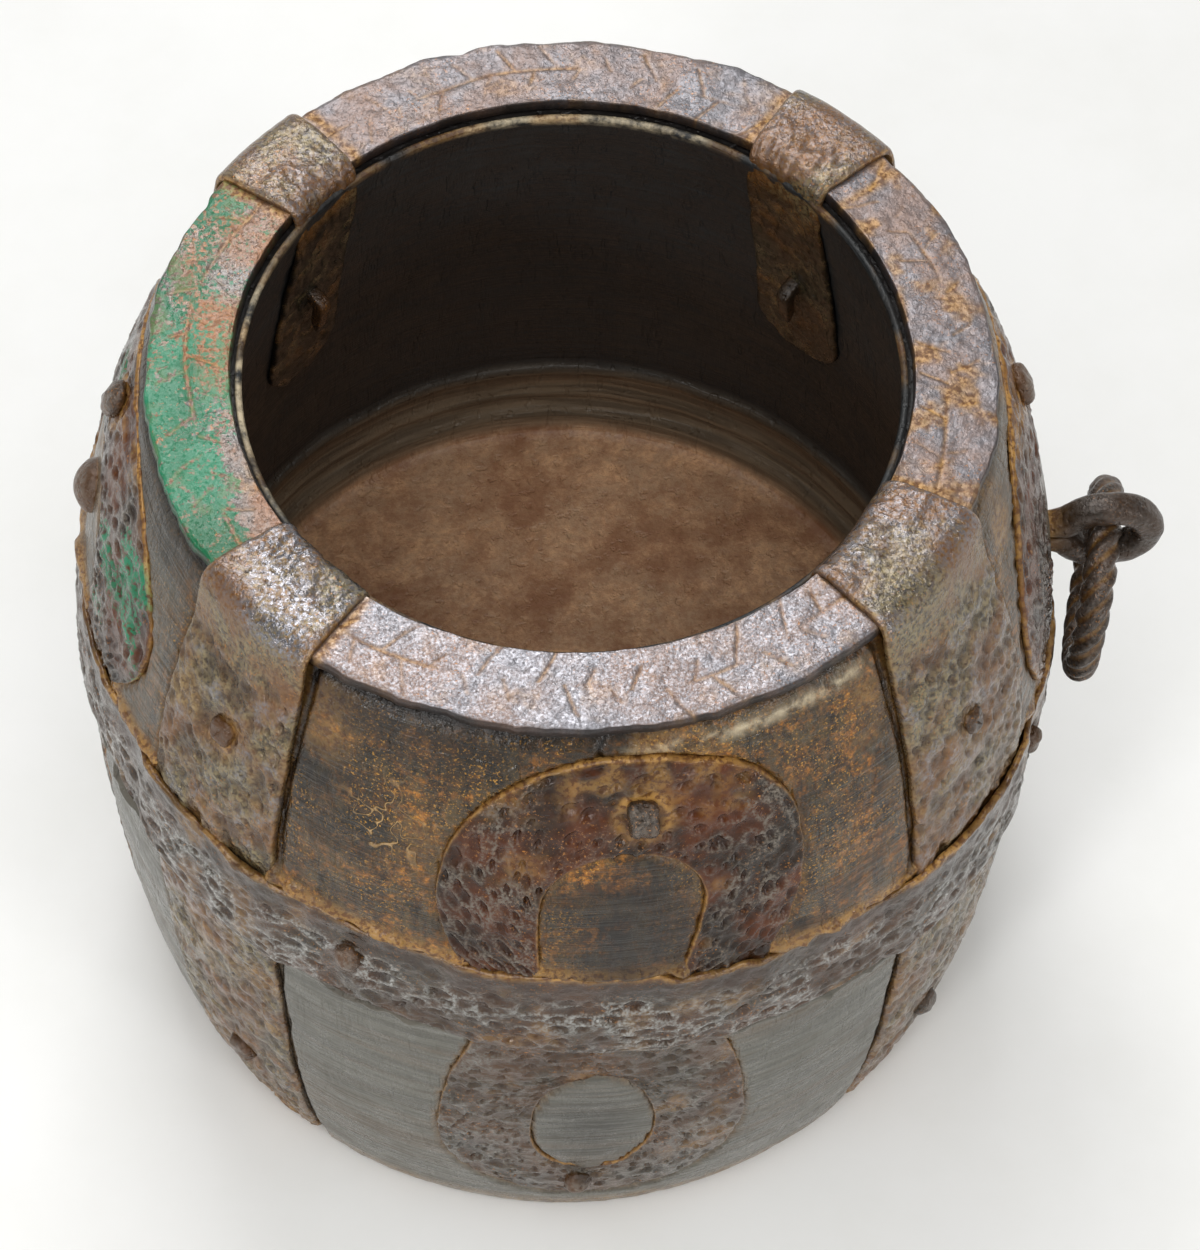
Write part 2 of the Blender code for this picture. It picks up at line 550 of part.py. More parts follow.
points, faces = [], []
for hole in wood_cutters:
    hole = np.asarray(hole, float)
    start = sum(len(p) for p in points)
    faces += [[start + corner for corner in face] for face in tube(hole.shape[:2], False)]
    points.append(hole.reshape(-1, 3))
cut(body, add_object("holes_in_wood", np.concatenate(points), faces))
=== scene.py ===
# %% [markdown]
# # A grain measure, dressed
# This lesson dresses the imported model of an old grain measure: a turned wooden vessel bound in
# hand-forged iron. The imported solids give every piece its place. Each step below replaces some
# of them with a surface that has the dents, rounded edges, rust and dirt of the real thing.

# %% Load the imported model
from collections import namedtuple

import bpy
import numpy as np
from mathutils import Matrix


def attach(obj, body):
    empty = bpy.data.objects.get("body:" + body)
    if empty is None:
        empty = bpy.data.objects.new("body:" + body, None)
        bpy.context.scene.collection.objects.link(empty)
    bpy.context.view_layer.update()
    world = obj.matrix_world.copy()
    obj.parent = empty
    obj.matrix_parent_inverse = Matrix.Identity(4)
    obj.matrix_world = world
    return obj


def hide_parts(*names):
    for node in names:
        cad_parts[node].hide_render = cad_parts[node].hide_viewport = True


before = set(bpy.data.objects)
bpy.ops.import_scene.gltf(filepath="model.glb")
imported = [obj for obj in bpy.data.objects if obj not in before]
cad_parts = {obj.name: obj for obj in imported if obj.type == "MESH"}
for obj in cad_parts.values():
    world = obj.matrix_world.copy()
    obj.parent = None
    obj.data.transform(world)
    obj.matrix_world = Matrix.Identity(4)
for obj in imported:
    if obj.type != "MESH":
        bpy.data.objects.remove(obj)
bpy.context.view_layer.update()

# %% [markdown]
# ## The camera
# The photograph was taken from the front, well above the rim, with a long lens. The place of the
# camera was solved from the ellipses of the rim and base, so it is typed in as it was found: a
# point, a line of sight and a small roll. A camera's own axes are right, up and backwards, so the
# three directions become the columns of its rotation. The lamps further down stand the same way.

# %% Camera at the photograph's viewing angle
CAMERA_PLACE = np.array((-0.01788, -0.2972, 0.5391))
CAMERA_SIGHT = np.array((0.0421, 0.5353, -0.8436))
CAMERA_ROLL, CAMERA_LENS, CAMERA_NEAR = 0.0402, 99.07, 0.01
VERTICAL = (0.0, 0.0, 1.0)


def unit(way):
    """A direction divided by its length."""
    return way / np.linalg.norm(way)


def stand(thing, right, up, back, spot):
    """Puts a thing into the scene: right, up and back are the columns of its rotation."""
    turn = np.eye(4)
    turn[:3, :3] = np.stack([right, up, back], 1)
    turn[:3, 3] = spot
    thing.matrix_world = Matrix(turn.tolist())
    bpy.context.scene.collection.objects.link(thing)


def aim_camera():
    """Right is the sight crossed with the vertical, up is right crossed with the sight, and a
    roll turns both."""
    sight = unit(CAMERA_SIGHT)
    right = unit(np.cross(sight, VERTICAL))
    up = np.cross(right, sight)
    c, s = np.cos(CAMERA_ROLL), np.sin(CAMERA_ROLL)
    data = bpy.data.cameras.new("camera")
    data.lens, data.clip_start = CAMERA_LENS, CAMERA_NEAR
    made = bpy.data.objects.new("camera", data)
    stand(made, c * right + s * up, c * up - s * right, -sight, CAMERA_PLACE)
    bpy.context.scene.camera = made
    return made


print("camera lens:", aim_camera().data.lens, "mm")

# %% [markdown]
# ## The barrel's own measures
# Every piece of iron lies on the barrel, so the barrel's two curves are the most useful thing to
# write down: its outer radius at a height, and the radius of the hollow. Sizes are in millimetres
# and azimuths in degrees, from 0 at the front (-Y) through 90 at the right (+X).

# %% Curves of the barrel
MM = 0.001
WOOD_TOP, BELLY, BELLY_HEIGHT, RIM, BASE = 139.5, 75.0, 75.0, 60.5, 68.5
MOUTH, HOLLOW, FLOOR_HEIGHT = 47.6, 62.5, 42.0
SHOULDER_POWER, FOOT_POWER, HOLLOW_POWER = 2.3, 3, 1.7
GAP, STRAP_THICK, PLATE_THICK, BAND_THICK = 0.3, 1.4, 1.2, 1.4
BAND_WIDTH, BAND_HEIGHT, BAND_TILT, BAND_TILT_SIDE = 22.5, 84.0, 7.0, 85.5
NEARBY = 0.05


def outer_radius(z):
    """A belly that falls away above and below it by a power of the distance."""
    up = np.clip((z - BELLY_HEIGHT) / (WOOD_TOP - BELLY_HEIGHT), 0, None)
    down = np.clip((BELLY_HEIGHT - z) / BELLY_HEIGHT, 0, None)
    return BELLY - (BELLY - RIM) * up**SHOULDER_POWER - (BELLY - BASE) * down**FOOT_POWER


def inner_radius(z):
    """Widest at the floor and drawn in to the mouth by a power of the height."""
    up = np.clip((z - FLOOR_HEIGHT) / (WOOD_TOP - FLOOR_HEIGHT), 0, None)
    return HOLLOW - (HOLLOW - MOUTH) * up**HOLLOW_POWER


def facing(radius, z, side):
    """Unit normal (radial, vertical) of a curve of radius, from its slope between two nearby
    heights: side is 1 for the outside and -1 for the hollow."""
    fall = (radius(z + NEARBY) - radius(z - NEARBY)) / (2 * NEARBY)
    return side * np.stack([np.ones_like(fall), -fall], -1) / np.hypot(1, fall)[..., None]


def band_middle(azimuth):
    """The band sits askew, so its height is a cosine of the azimuth."""
    return BAND_HEIGHT - BAND_TILT * np.cos(np.radians(azimuth - BAND_TILT_SIDE))


def band_top(azimuth):
    """Height of the band's upper edge: half its width over its middle."""
    return float(band_middle(azimuth)) + BAND_WIDTH / 2


def place(azimuth, radius, z):
    """Points in space from azimuth, radius and height."""
    a = np.radians(azimuth)
    return np.stack(np.broadcast_arrays(radius * np.sin(a), -radius * np.cos(a), z), -1)


def run_along(line):
    """How far each point of a line is from its start: the running sum of the steps."""
    return np.concatenate([[0], np.cumsum(np.linalg.norm(np.diff(line, axis=0), axis=1))])


def circle(count):
    """Angles spaced evenly round a circle."""
    return np.linspace(0, 2 * np.pi, count, endpoint=False)


print("wall at the rim:", RIM - MOUTH, "mm; band's top at the eye:", round(band_top(90.0), 2), "mm")

# %% [markdown]
# ## Chance that stays the same
# Forged iron and old wood are uneven everywhere, and no two dents are alike. A random number that
# is worked out from its place, and not drawn from a list, gives the same dent each time the script
# runs. Lumps blend such numbers between the corners of a lattice, and dents put one hammer mark
# somewhere in each cell of a brick pattern. Smooth steps then turn numbers into soft masks.

# %% Lumps and dents
PRIMES, SEED_PRIME, ALL_BITS = (374761393, 668265263, 1274126177), 974634777, 0xFFFFFFFF
FOLDS = ((13, 1274126177), (16, 2246822519), (15, 1))  # bits to fold by, and a factor
BRIM_AT, BRIM_WIDE, BRIM_HIGH = 1.25, 0.35, 0.28  # a dent's brim, as shares of reach and depth


def chance(cell, seed):
    """A steady number from 0 to 1 for each whole-number cell, by multiplying and folding bits."""
    n = cell.astype(np.int64).astype(np.uint64)
    h = (n * np.array(PRIMES, np.uint64)).sum(-1)
    h = (h + np.uint64(seed * SEED_PRIME)) & np.uint64(ALL_BITS)
    for fold, factor in FOLDS:
        h = ((h ^ (h >> np.uint64(fold))) * np.uint64(factor)) & np.uint64(ALL_BITS)
    return h.astype(float) / ALL_BITS


def lumps(points, size, seed, octaves=1):
    """Smooth lumps from about -1 to 1: lattice corners blended by smooth steps, where each octave
    has half the size and half the height of the one before."""
    total, height = 0.0, 1.0
    for octave in range(octaves):
        spot = points / (size / 2**octave)
        low = np.floor(spot)
        part = smooth(spot - low, 0, 1)
        value = 0.0
        for corner in np.ndindex(2, 2, 2):
            weight = np.prod(np.where(np.array(corner) == 1, part, 1 - part), -1)
            value = value + weight * chance(low + corner, seed + octave)
        total = total + height * (2 * value - 1)
        height *= 0.5
    return total


def dents(along, across, step_along, step_across, size, stretch, seed):
    """Depth of hammer marks, 1 at the bottom and a little under 0 on the raised brim: one in each
    cell of a brick pattern, longer than tall by the stretch."""
    deepest = np.zeros(np.broadcast(along, across).shape)
    brim = deepest.copy()
    row0 = np.floor(across / step_across) + 0 * along
    for row_step in (-1, 0, 1):
        row = row0 + row_step
        shift = 0.5 * (row % 2)
        column0 = np.floor(along / step_along - shift)
        for column_step in (-1, 0, 1):
            column = column0 + column_step
            cell = np.stack([column, row, 0 * row], -1)
            aside = along - (column + shift + chance(cell, seed)) * step_along
            off = across - (row + chance(cell, seed + 1)) * step_across
            reach = size * (0.6 + 0.8 * chance(cell, seed + 2))
            away = np.hypot(aside / stretch, off) / reach
            force = 0.4 + 0.6 * chance(cell, seed + 3)
            deepest = np.maximum(deepest, force * held(1 - away**2))
            brim = np.maximum(brim, force * bump(away - BRIM_AT, BRIM_WIDE))
    return deepest - BRIM_HIGH * brim * (1 - deepest)


def held(value):
    """A value held between 0 and 1."""
    return np.clip(value, 0, 1)


def bump(distance, reach):
    """A smooth hill: 1 at no distance, and nearly 0 beyond twice the reach."""
    return np.exp(-((distance / reach) ** 2))


def smooth(value, low, high):
    """A smooth step from 0 below low to 1 above high."""
    part = held((value - low) / (high - low))
    return part * part * (3 - 2 * part)


def plateau(value, rise, full, fade, end):
    """A smooth step up from rise to full, and down again from fade to end."""
    return smooth(value, rise, full) * smooth(-value, -end, -fade)


def blotches(spot, size, seed, octaves, low, high):
    """A mask from lumps: 0 where they are under low, 1 where they are over high."""
    return smooth(lumps(spot, size, seed, octaves), low, high)


print("a steady chance:", round(float(chance(np.array([[3, 1, 4]]), 1)[0]), 4))

# %% [markdown]
# ## From arrays to a piece
# A piece is a grid of points and the squares between them. A slab has an upper and a lower grid
# that share their border, a spun shape has rings closed by a point at each end, and a hoop is
# closed both ways. Marks are numbers kept at the points, such as how far a point is from the
# edge: the finishes read them to know where dirt gathers and where hands rub. A mark that a piece
# doesn't have reads as 0.

# %% Grids, slabs, spun shapes and hoops
COUNT = {}  # triangles of each piece


def squares(index):
    """The four corners of each square of a grid of point numbers."""
    corners = [index[:-1, :-1], index[1:, :-1], index[1:, 1:], index[:-1, 1:]]
    return np.stack(corners, -1).reshape(-1, 4)


def slab(top, under, marks, step=10):
    """A closed plate: a fine upper grid and a lower one with every step-th column, which share
    their border. Fans of triangles join fine to coarse at both ends."""
    rows, columns = top.shape[:2]
    upper = np.arange(rows * columns).reshape(rows, columns)
    lower = upper[:, ::step].copy()
    hidden = under[1:-1, step:-step:step]
    lower[1:-1, 1:-1] = upper.size + np.arange(hidden[..., 0].size).reshape(hidden.shape[:2])
    first, last, near, far = upper[0], upper[-1], lower[1], lower[-2]
    corner = np.repeat(np.arange(len(near) - 1), step)
    fans = [
        np.stack([near[corner], first[:-1], first[1:]], -1),
        np.stack([near[:-1], first[step::step], near[1:]], -1),
        np.stack([far[corner], last[1:], last[:-1]], -1),
        np.stack([far[:-1], far[1:], last[step::step]], -1),
    ]
    points = np.concatenate([top.reshape(-1, 3), hidden.reshape(-1, 3)])
    kept = {}
    for label, values in marks.items():
        values = values + 0 * top[..., 0]
        kept[label] = np.concatenate([values.ravel(), values[1:-1, step:-step:step].ravel()])
    faces = np.concatenate([squares(upper), squares(lower[1:-1])[:, ::-1]])
    return points, faces, np.concatenate(fans), kept


def ring_index(rings):
    """Point numbers of rings, with the first column again at the end."""
    rows, around = rings.shape[:2]
    index = np.arange(rows * around).reshape(rows, around)
    return np.concatenate([index, index[:, :1]], 1)


def spun(rings, first, last, marks):
    """Rings of points closed all round, with a fan to one point at each end."""
    rows, around = rings.shape[:2]
    index = ring_index(rings)
    start, end = np.full(around, rows * around), np.full(around, rows * around + 1)
    fans = [
        np.stack([start, index[0, :-1], index[0, 1:]], -1),
        np.stack([end, index[-1, 1:], index[-1, :-1]], -1),
    ]
    points = np.concatenate([rings.reshape(-1, 3), [first, last]])
    kept = {}
    for label, values in marks.items():
        values = values + 0 * rings[..., 0]
        kept[label] = np.concatenate([values.ravel(), [values[0].mean(), values[-1].mean()]])
    return points, squares(index), np.concatenate(fans), kept


def hoop(rings, marks):
    """Rings of points closed all round, and the last ring joined to the first."""
    index = ring_index(rings)
    index = np.concatenate([index, index[:1]])
    kept = {label: (values + 0 * rings[..., 0]).ravel() for label, values in marks.items()}
    return rings.reshape(-1, 3), squares(index), np.zeros((0, 3), int), kept


def signed_volume(points, corners):
    """Six times the volume inside the faces: positive when they point outwards."""
    a, b, c = (points[corners[:, i]] for i in range(3))
    return float(np.einsum("ij,ij->i", a, np.cross(b, c)).sum())


def add_piece(name, shape, finish, body="measure"):
    """Puts a shape into a mesh with its faces outwards, keeps its marks, and lets it stand for the
    solid of the same name."""
    points, four, three, marks = shape
    points = points * MM
    if signed_volume(points, np.concatenate([four[:, :3], four[:, [0, 2, 3]], three])) < 0:
        four, three = four[:, ::-1], three[:, ::-1]
    mesh = bpy.data.meshes.new(name)
    mesh.vertices.add(len(points))
    mesh.vertices.foreach_set("co", points.astype(np.float32).ravel())
    corners = np.concatenate([four.ravel(), three.ravel()])
    mesh.loops.add(len(corners))
    mesh.loops.foreach_set("vertex_index", corners.astype(np.int32))
    mesh.polygons.add(len(four) + len(three))
    starts = np.concatenate([4 * np.arange(len(four)), four.size + 3 * np.arange(len(three))])
    mesh.polygons.foreach_set("loop_start", starts.astype(np.int32))
    mesh.update(calc_edges=True)
    mesh.polygons.foreach_set("use_smooth", np.ones(len(starts), bool))
    for label, values in marks.items():
        kept = mesh.attributes.new(label, "FLOAT", "POINT")
        kept.data.foreach_set("value", np.asarray(values, np.float32))
    mesh.materials.append(finish)
    made = bpy.data.objects.new(name + "_dressed", mesh)
    bpy.context.scene.collection.objects.link(made)
    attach(made, body)
    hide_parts(name)
    COUNT[name] = 2 * len(four) + len(three)


print("grid of 3 by 4 points:", len(squares(np.arange(12).reshape(3, 4))), "squares")

# %% [markdown]
# ## Finishes: shared effects
# Four things happen to all of this measure: iron and wood have a fine grain, iron rusts in
# patches, ochre earth stays in corners, and handling wears high spots bright, where painted
# highlights are laid as well. Each is a node group with named inputs, so that every finish can use
# it with its own values. A group only works out colours and masks. The shader itself stays in the
# material.

# %% Small helpers for nodes
def add_node(tree, kind, inputs=None, **settings):
    """A node with its settings, whose inputs are a value or another node's output."""
    made = tree.nodes.new(kind)
    for key, value in settings.items():
        setattr(made, key, value)
    for key, value in (inputs or {}).items():
        if isinstance(value, bpy.types.NodeSocket):
            tree.links.new(value, made.inputs[key])
        else:
            made.inputs[key].default_value = value
    return made


def ranged(tree, value, low, high, first=0.0, last=1.0, steps="LINEAR"):
    """A value between low and high moved to the same share of the way from first to last."""
    inputs = {0: value, 1: low, 2: high, 3: first, 4: last}
    return add_node(tree, "ShaderNodeMapRange", inputs, interpolation_type=steps).outputs[0]


def noise(tree, where, scale, detail, roughness, distortion=0.0):
    """Cloudy noise from 0 to 1: scale is how many clouds there are in a metre."""
    inputs = {"Vector": where, "Scale": scale, "Detail": detail, "Roughness": roughness}
    inputs["Distortion"] = distortion
    return add_node(tree, "ShaderNodeTexNoise", inputs).outputs["Fac"]


def cloud(tree, where, scale, low, high, detail=4.0, roughness=0.55, distortion=0.0):
    """A mask from cloudy noise: 0 where the noise is under low, 1 where it is over high."""
    clouds = noise(tree, where, scale, detail, roughness, distortion)
    return ranged(tree, clouds, low, high, steps="SMOOTHSTEP")


def sums(tree, kind, a, b, clamp=False):
    """One step of arithmetic between two values."""
    made = add_node(tree, "ShaderNodeMath", {0: a, 1: b}, operation=kind, use_clamp=clamp)
    return made.outputs[0]


def times(tree, a, b, clamp=False):
    """One value multiplied by another."""
    return sums(tree, "MULTIPLY", a, b, clamp)


def between(tree, share, a, b):
    """A colour part of the way from a to b."""
    return add_node(tree, "ShaderNodeMix", {0: share, 6: a, 7: b}, data_type="RGBA").outputs[2]


def mark(tree, name):
    """The value of a mark that was kept at the points."""
    return add_node(tree, "ShaderNodeAttribute", attribute_name=name).outputs["Fac"]


def rgb(red, green, blue):
    """A colour as seen on a screen, 0 to 255, as the linear light that the shader needs."""
    c = np.array([red, green, blue]) / 255
    return (*np.where(c <= 0.04045, c / 12.92, ((c + 0.055) / 1.055) ** 2.4).tolist(), 1.0)


print("rust on a screen (120, 62, 34) is", np.round(rgb(120, 62, 34)[:3], 3), "in linear light")

# %% Helpers for groups and materials
BLACK = rgb(0, 0, 0)
SOCKETS = {type(None): "NodeSocketVector", tuple: "NodeSocketColor", float: "NodeSocketFloat"}


def new_group(name, inputs, outputs):
    """An empty node group. A socket's default tells its kind: a place, a colour or a value."""
    tree = bpy.data.node_groups.new(name, "ShaderNodeTree")
    for way, sockets in (("INPUT", inputs), ("OUTPUT", outputs)):
        for label, default in sockets.items():
            made = tree.interface.new_socket(label, in_out=way, socket_type=SOCKETS[type(default)])
            if default is not None:
                made.default_value = default
    return tree, add_node(tree, "NodeGroupInput").outputs, add_node(tree, "NodeGroupOutput").inputs


def use_group(tree, group, **inputs):
    """Places a group in a material."""
    return add_node(tree, "ShaderNodeGroup", inputs, node_tree=group).outputs


def new_finish(name):
    """A material, its nodes, its shader, and the place of a point in its piece."""
    made = bpy.data.materials.new(name)
    made.use_nodes = True
    tree = made.node_tree
    where = add_node(tree, "ShaderNodeTexCoord").outputs["Object"]
    return made, tree, tree.nodes["Principled BSDF"], where


def raise_bump(tree, shader, height, distance):
    """Lets a height tilt the shader's normal: distance is how high 1 stands, in metres."""
    inputs = {"Height": height, "Distance": distance, "Strength": 1.0}
    lift = add_node(tree, "ShaderNodeBump", inputs)
    tree.links.new(lift.outputs["Normal"], shader.inputs["Normal"])


print("kinds of sockets:", len(SOCKETS))

# %% Groups: patchy rust and ochre dirt
SPECKLE, FLECK = rgb(28, 21, 17), rgb(176, 116, 50)
EARTH, DARK_EARTH = rgb(192, 146, 80), rgb(104, 68, 34)


def make_patchy_rust():
    """Dark iron, red-brown rust in cloudy patches, and a scatter of small orange flecks."""
    inputs = {"Where": None, "Iron": BLACK, "Rust": BLACK}
    inputs.update({"Amount": 0.5, "Flecks": 0.5, "Speckle": 0.5})
    tree, given, out = new_group("patchy rust", inputs, {"Colour": BLACK, "Rusty": 0.0})
    where = given["Where"]
    rusty = times(tree, cloud(tree, where, 90.0, 0.36, 0.64, 6.0, 0.62, 0.4), given["Amount"], True)
    fine = times(tree, cloud(tree, where, 1300.0, 0.40, 0.64, 4.0, 0.65), given["Speckle"])
    body = between(tree, rusty, between(tree, fine, given["Iron"], SPECKLE), given["Rust"])
    small = cloud(tree, where, 2200.0, 0.57, 0.70, 3.0, 0.65)
    gathered = times(tree, small, cloud(tree, where, 70.0, 0.40, 0.62, 3.0))
    flecks = times(tree, gathered, given["Flecks"], True)
    tree.links.new(between(tree, flecks, body, FLECK), out["Colour"])
    tree.links.new(sums(tree, "MAXIMUM", rusty, flecks), out["Rusty"])
    return tree


def make_ochre_dirt():
    """Earth that stays where a mark says so, broken up by two sizes of crumbs."""
    inputs = {"Where": None, "Under": BLACK, "Amount": 0.0, "Crumbs": 0.5}
    tree, given, out = new_group("ochre dirt", inputs, {"Colour": BLACK, "Dirty": 0.0})
    broad = cloud(tree, given["Where"], 160.0, 0.30, 0.62, 4.0, 0.6)
    crumbs = cloud(tree, given["Where"], 1100.0, 0.40, 0.60, 3.0, 0.65)
    mixed = {0: given["Crumbs"], 2: broad, 3: crumbs}
    broken = add_node(tree, "ShaderNodeMix", mixed, data_type="FLOAT").outputs[0]
    dirty = times(tree, given["Amount"], sums(tree, "ADD", broken, 0.35), True)
    shade = between(tree, crumbs, EARTH, DARK_EARTH)
    tree.links.new(between(tree, dirty, given["Under"], shade), out["Colour"])
    tree.links.new(dirty, out["Dirty"])
    return tree


RUST, DIRT = make_patchy_rust(), make_ochre_dirt()
print("groups:", RUST.name, "and", DIRT.name)

# %% Groups: rubbed edges and pitted grain
def make_rubbed_edges_and_highlights():
    """High spots that hands and sacks have worn, which also carry painted highlights and sheen: the
    mark is broken by a fine noise.
    """
    inputs = {"Where": None, "Under": BLACK, "Bare": BLACK, "Amount": 0.0, "Grain": 600.0}
    tree, given, out = new_group("rubbed edges and highlights", inputs, {"Colour": BLACK, "Rubbed_and_highlight": 0.0})
    broken = cloud(tree, given["Where"], given["Grain"], 0.35, 0.68, 4.0, 0.65)
    rubbed_and_highlight = times(tree, given["Amount"], broken, True)
    tree.links.new(between(tree, rubbed_and_highlight, given["Under"], given["Bare"]), out["Colour"])
    tree.links.new(rubbed_and_highlight, out["Rubbed_and_highlight"])
    return tree


def make_pitted_grain():
    """A height for small pits and lumps: fine noise with sharper pits cut into it."""
    inputs = {"Where": None, "Size": 700.0, "Pits": 0.5}
    tree, given, out = new_group("pitted grain", inputs, {"Height": 0.0})
    grain = noise(tree, given["Where"], given["Size"], 4.0, 0.6)
    pits = cloud(tree, given["Where"], times(tree, given["Size"], 0.7), 0.56, 0.70, 2.0)
    tree.links.new(sums(tree, "SUBTRACT", grain, times(tree, pits, given["Pits"])), out["Height"])
    return tree


RUBBED_AND_HIGHLIGHT, GRAIN = make_rubbed_edges_and_highlights(), make_pitted_grain()
print("groups:", RUBBED_AND_HIGHLIGHT.name, "and", GRAIN.name)

# %% [markdown]
# ## Finishes: iron
# Old forged iron that was oiled for years is neither bright metal nor dull rust. It is a dark,
# half metallic skin with a soft sheen, red-brown in its dents, ochre along its edges and silvery
# where it is rubbed. The dark of the dents is partly painted shade, and the silvery high spots are
# partly painted highlight and sheen. One function makes all the irons, because they differ only in
# how much of each they show.

# %% Iron finishes
# Dents are darkened both as rust and as painted shade, and the deep shade colour is painted shade
# in holes, on plates' outer sides and on tongues inside the barrel.
DENT_RUST_AND_SHADE, DEEP_SHADE = rgb(38, 21, 13), rgb(22, 20, 18)
PAINT, FADED_PAINT = rgb(14, 100, 62), rgb(40, 130, 94)


def iron_finish(
    name, iron, rust, bare_and_highlight, amount, flecks, speckle, rubbed_and_highlight, worn, sheen, grain, height,
    metal=(0.2, 0.05), gloss=0.5, painted=False,
):
    """Rust patches, then dents darkened with rust and painted shade, high spots worn by hands with
    painted highlights, paint, ochre earth and painted deep shade, with a pitted bump. Sheen is the
    roughness when clean, and metal says how metallic it is clean and dull."""
    made, tree, shader, where = new_finish(name)
    shader.inputs["Specular IOR Level"].default_value = gloss
    rusted = use_group(
        tree, RUST, Where=where, Iron=rgb(*iron), Rust=rgb(*rust),
        Amount=amount, Flecks=flecks, Speckle=speckle,
    )
    dent_rust_and_shade = times(tree, mark(tree, "dent_rust_and_shade"), 0.62, True)
    polished_and_highlight = use_group(
        tree, RUBBED_AND_HIGHLIGHT, Where=where, Under=between(tree, dent_rust_and_shade, rusted["Colour"], DENT_RUST_AND_SHADE),
        Bare=rgb(*bare_and_highlight), Amount=times(tree, mark(tree, "rub"), rubbed_and_highlight), Grain=worn,
    )
    colour, unpainted = polished_and_highlight["Colour"], 1.0
    if painted:
        chips = cloud(tree, where, 1100.0, 0.28, 0.72, 5.0, 0.7)
        left = sums(tree, "SUBTRACT", times(tree, mark(tree, "paint"), 1.5), chips)
        kept = times(tree, left, 3.0, True)
        coat = between(tree, cloud(tree, where, 60.0, 0.35, 0.65), PAINT, FADED_PAINT)
        colour = between(tree, kept, colour, coat)
        unpainted = sums(tree, "SUBTRACT", 1.0, kept)
    dirty = use_group(tree, DIRT, Where=where, Under=colour, Amount=mark(tree, "dirt"))
    deep_shade = mark(tree, "deep_shade")
    tree.links.new(between(tree, deep_shade, dirty["Colour"], DEEP_SHADE), shader.inputs["Base Color"])
    dull = sums(tree, "MAXIMUM", times(tree, rusted["Rusty"], 0.5), dirty["Dirty"])
    dull = sums(tree, "MAXIMUM", dull, deep_shade)
    tree.links.new(ranged(tree, dull, 0.0, 1.0, sheen, sheen + 0.2), shader.inputs["Roughness"])
    highlight_share = times(tree, times(tree, polished_and_highlight["Rubbed_and_highlight"], unpainted), 0.6)
    metallic = sums(tree, "ADD", ranged(tree, dull, 0.0, 1.0, *metal), highlight_share, True)
    tree.links.new(times(tree, metallic, unpainted), shader.inputs["Metallic"])
    pits = use_group(tree, GRAIN, Where=where, Size=grain, Pits=0.5)
    raise_bump(tree, shader, pits["Height"], height)
    return made


print("paint in linear light:", np.round(PAINT[:3], 3))

# %% The eight irons
FLAT_PLATE = dict(
    speckle=0.75, rubbed_and_highlight=1.0, worn=2200.0, sheen=0.11, grain=1500.0, height=0.00010)
LOOKS = {
    "rim_iron": dict(
        iron=(120, 118, 122), rust=(130, 98, 76), bare_and_highlight=(170, 170, 176), amount=0.6, flecks=0.8,
        speckle=0.45, rubbed_and_highlight=0.9, worn=2600.0, sheen=0.28, grain=2400.0, height=0.00008,
        metal=(0.5, 0.25)),
    "painted_rim_iron": dict(
        iron=(120, 114, 110), rust=(146, 94, 50), bare_and_highlight=(146, 146, 148), amount=0.9, flecks=0.8,
        speckle=0.5, rubbed_and_highlight=0.6, worn=2400.0, sheen=0.22, grain=2200.0, height=0.00010,
        metal=(0.4, 0.15), painted=True),
    "strap_iron": dict(
        iron=(132, 118, 85), rust=(114, 71, 30), bare_and_highlight=(142, 141, 146), amount=0.8, flecks=1.0,
        speckle=0.85, rubbed_and_highlight=1.0, worn=1500.0, sheen=0.14, grain=1300.0, height=0.00018,
        metal=(0.3, 0.1), gloss=0.6),
    "plate_iron": dict(
        FLAT_PLATE, iron=(38, 25, 12), rust=(90, 43, 10), bare_and_highlight=(126, 118, 108), amount=0.9,
        flecks=1.0, metal=(0.1, 0.0), gloss=0.32, painted=True),
    "low_plate_iron": dict(
        FLAT_PLATE, iron=(64, 53, 36), rust=(80, 49, 20), bare_and_highlight=(130, 128, 121), amount=0.8,
        flecks=1.0, metal=(0.1, 0.0), gloss=0.48),
    "band_iron": dict(
        FLAT_PLATE, iron=(66, 55, 39), rust=(78, 45, 18), bare_and_highlight=(170, 170, 166), amount=0.7,
        flecks=0.8, metal=(0.15, 0.02), gloss=0.62),
    "nail_iron": dict(
        iron=(58, 46, 34), rust=(92, 60, 32), bare_and_highlight=(132, 122, 112), amount=0.8, flecks=1.0,
        speckle=0.8, rubbed_and_highlight=0.7, worn=1200.0, sheen=0.2, grain=1100.0, height=0.00030),
    "ring_iron": dict(
        iron=(48, 40, 32), rust=(68, 46, 28), bare_and_highlight=(116, 108, 102), amount=0.7, flecks=0.8,
        speckle=0.8, rubbed_and_highlight=0.6, worn=1200.0, sheen=0.24, grain=1100.0, height=0.00022, gloss=0.4),
}
IRONS = {name: iron_finish(name, **look) for name, look in LOOKS.items()}
print("irons:", ", ".join(IRONS))

# %% [markdown]
# ## Finishes: wood
# The body was turned from one block, so its grain runs up the wall and fine turning lines run
# round it. Outside it is dark and greasy with ochre earth in its pores, paler and greyer below
# the band and at both sides, partly as painted sheen, and cream near the rim plates, partly
# chafing and partly painted highlight. Inside, the wall is painted nearly black, partly as
# painted shade, and the floor red-brown and paler, partly as painted light. Marks on the points
# say which part is which.

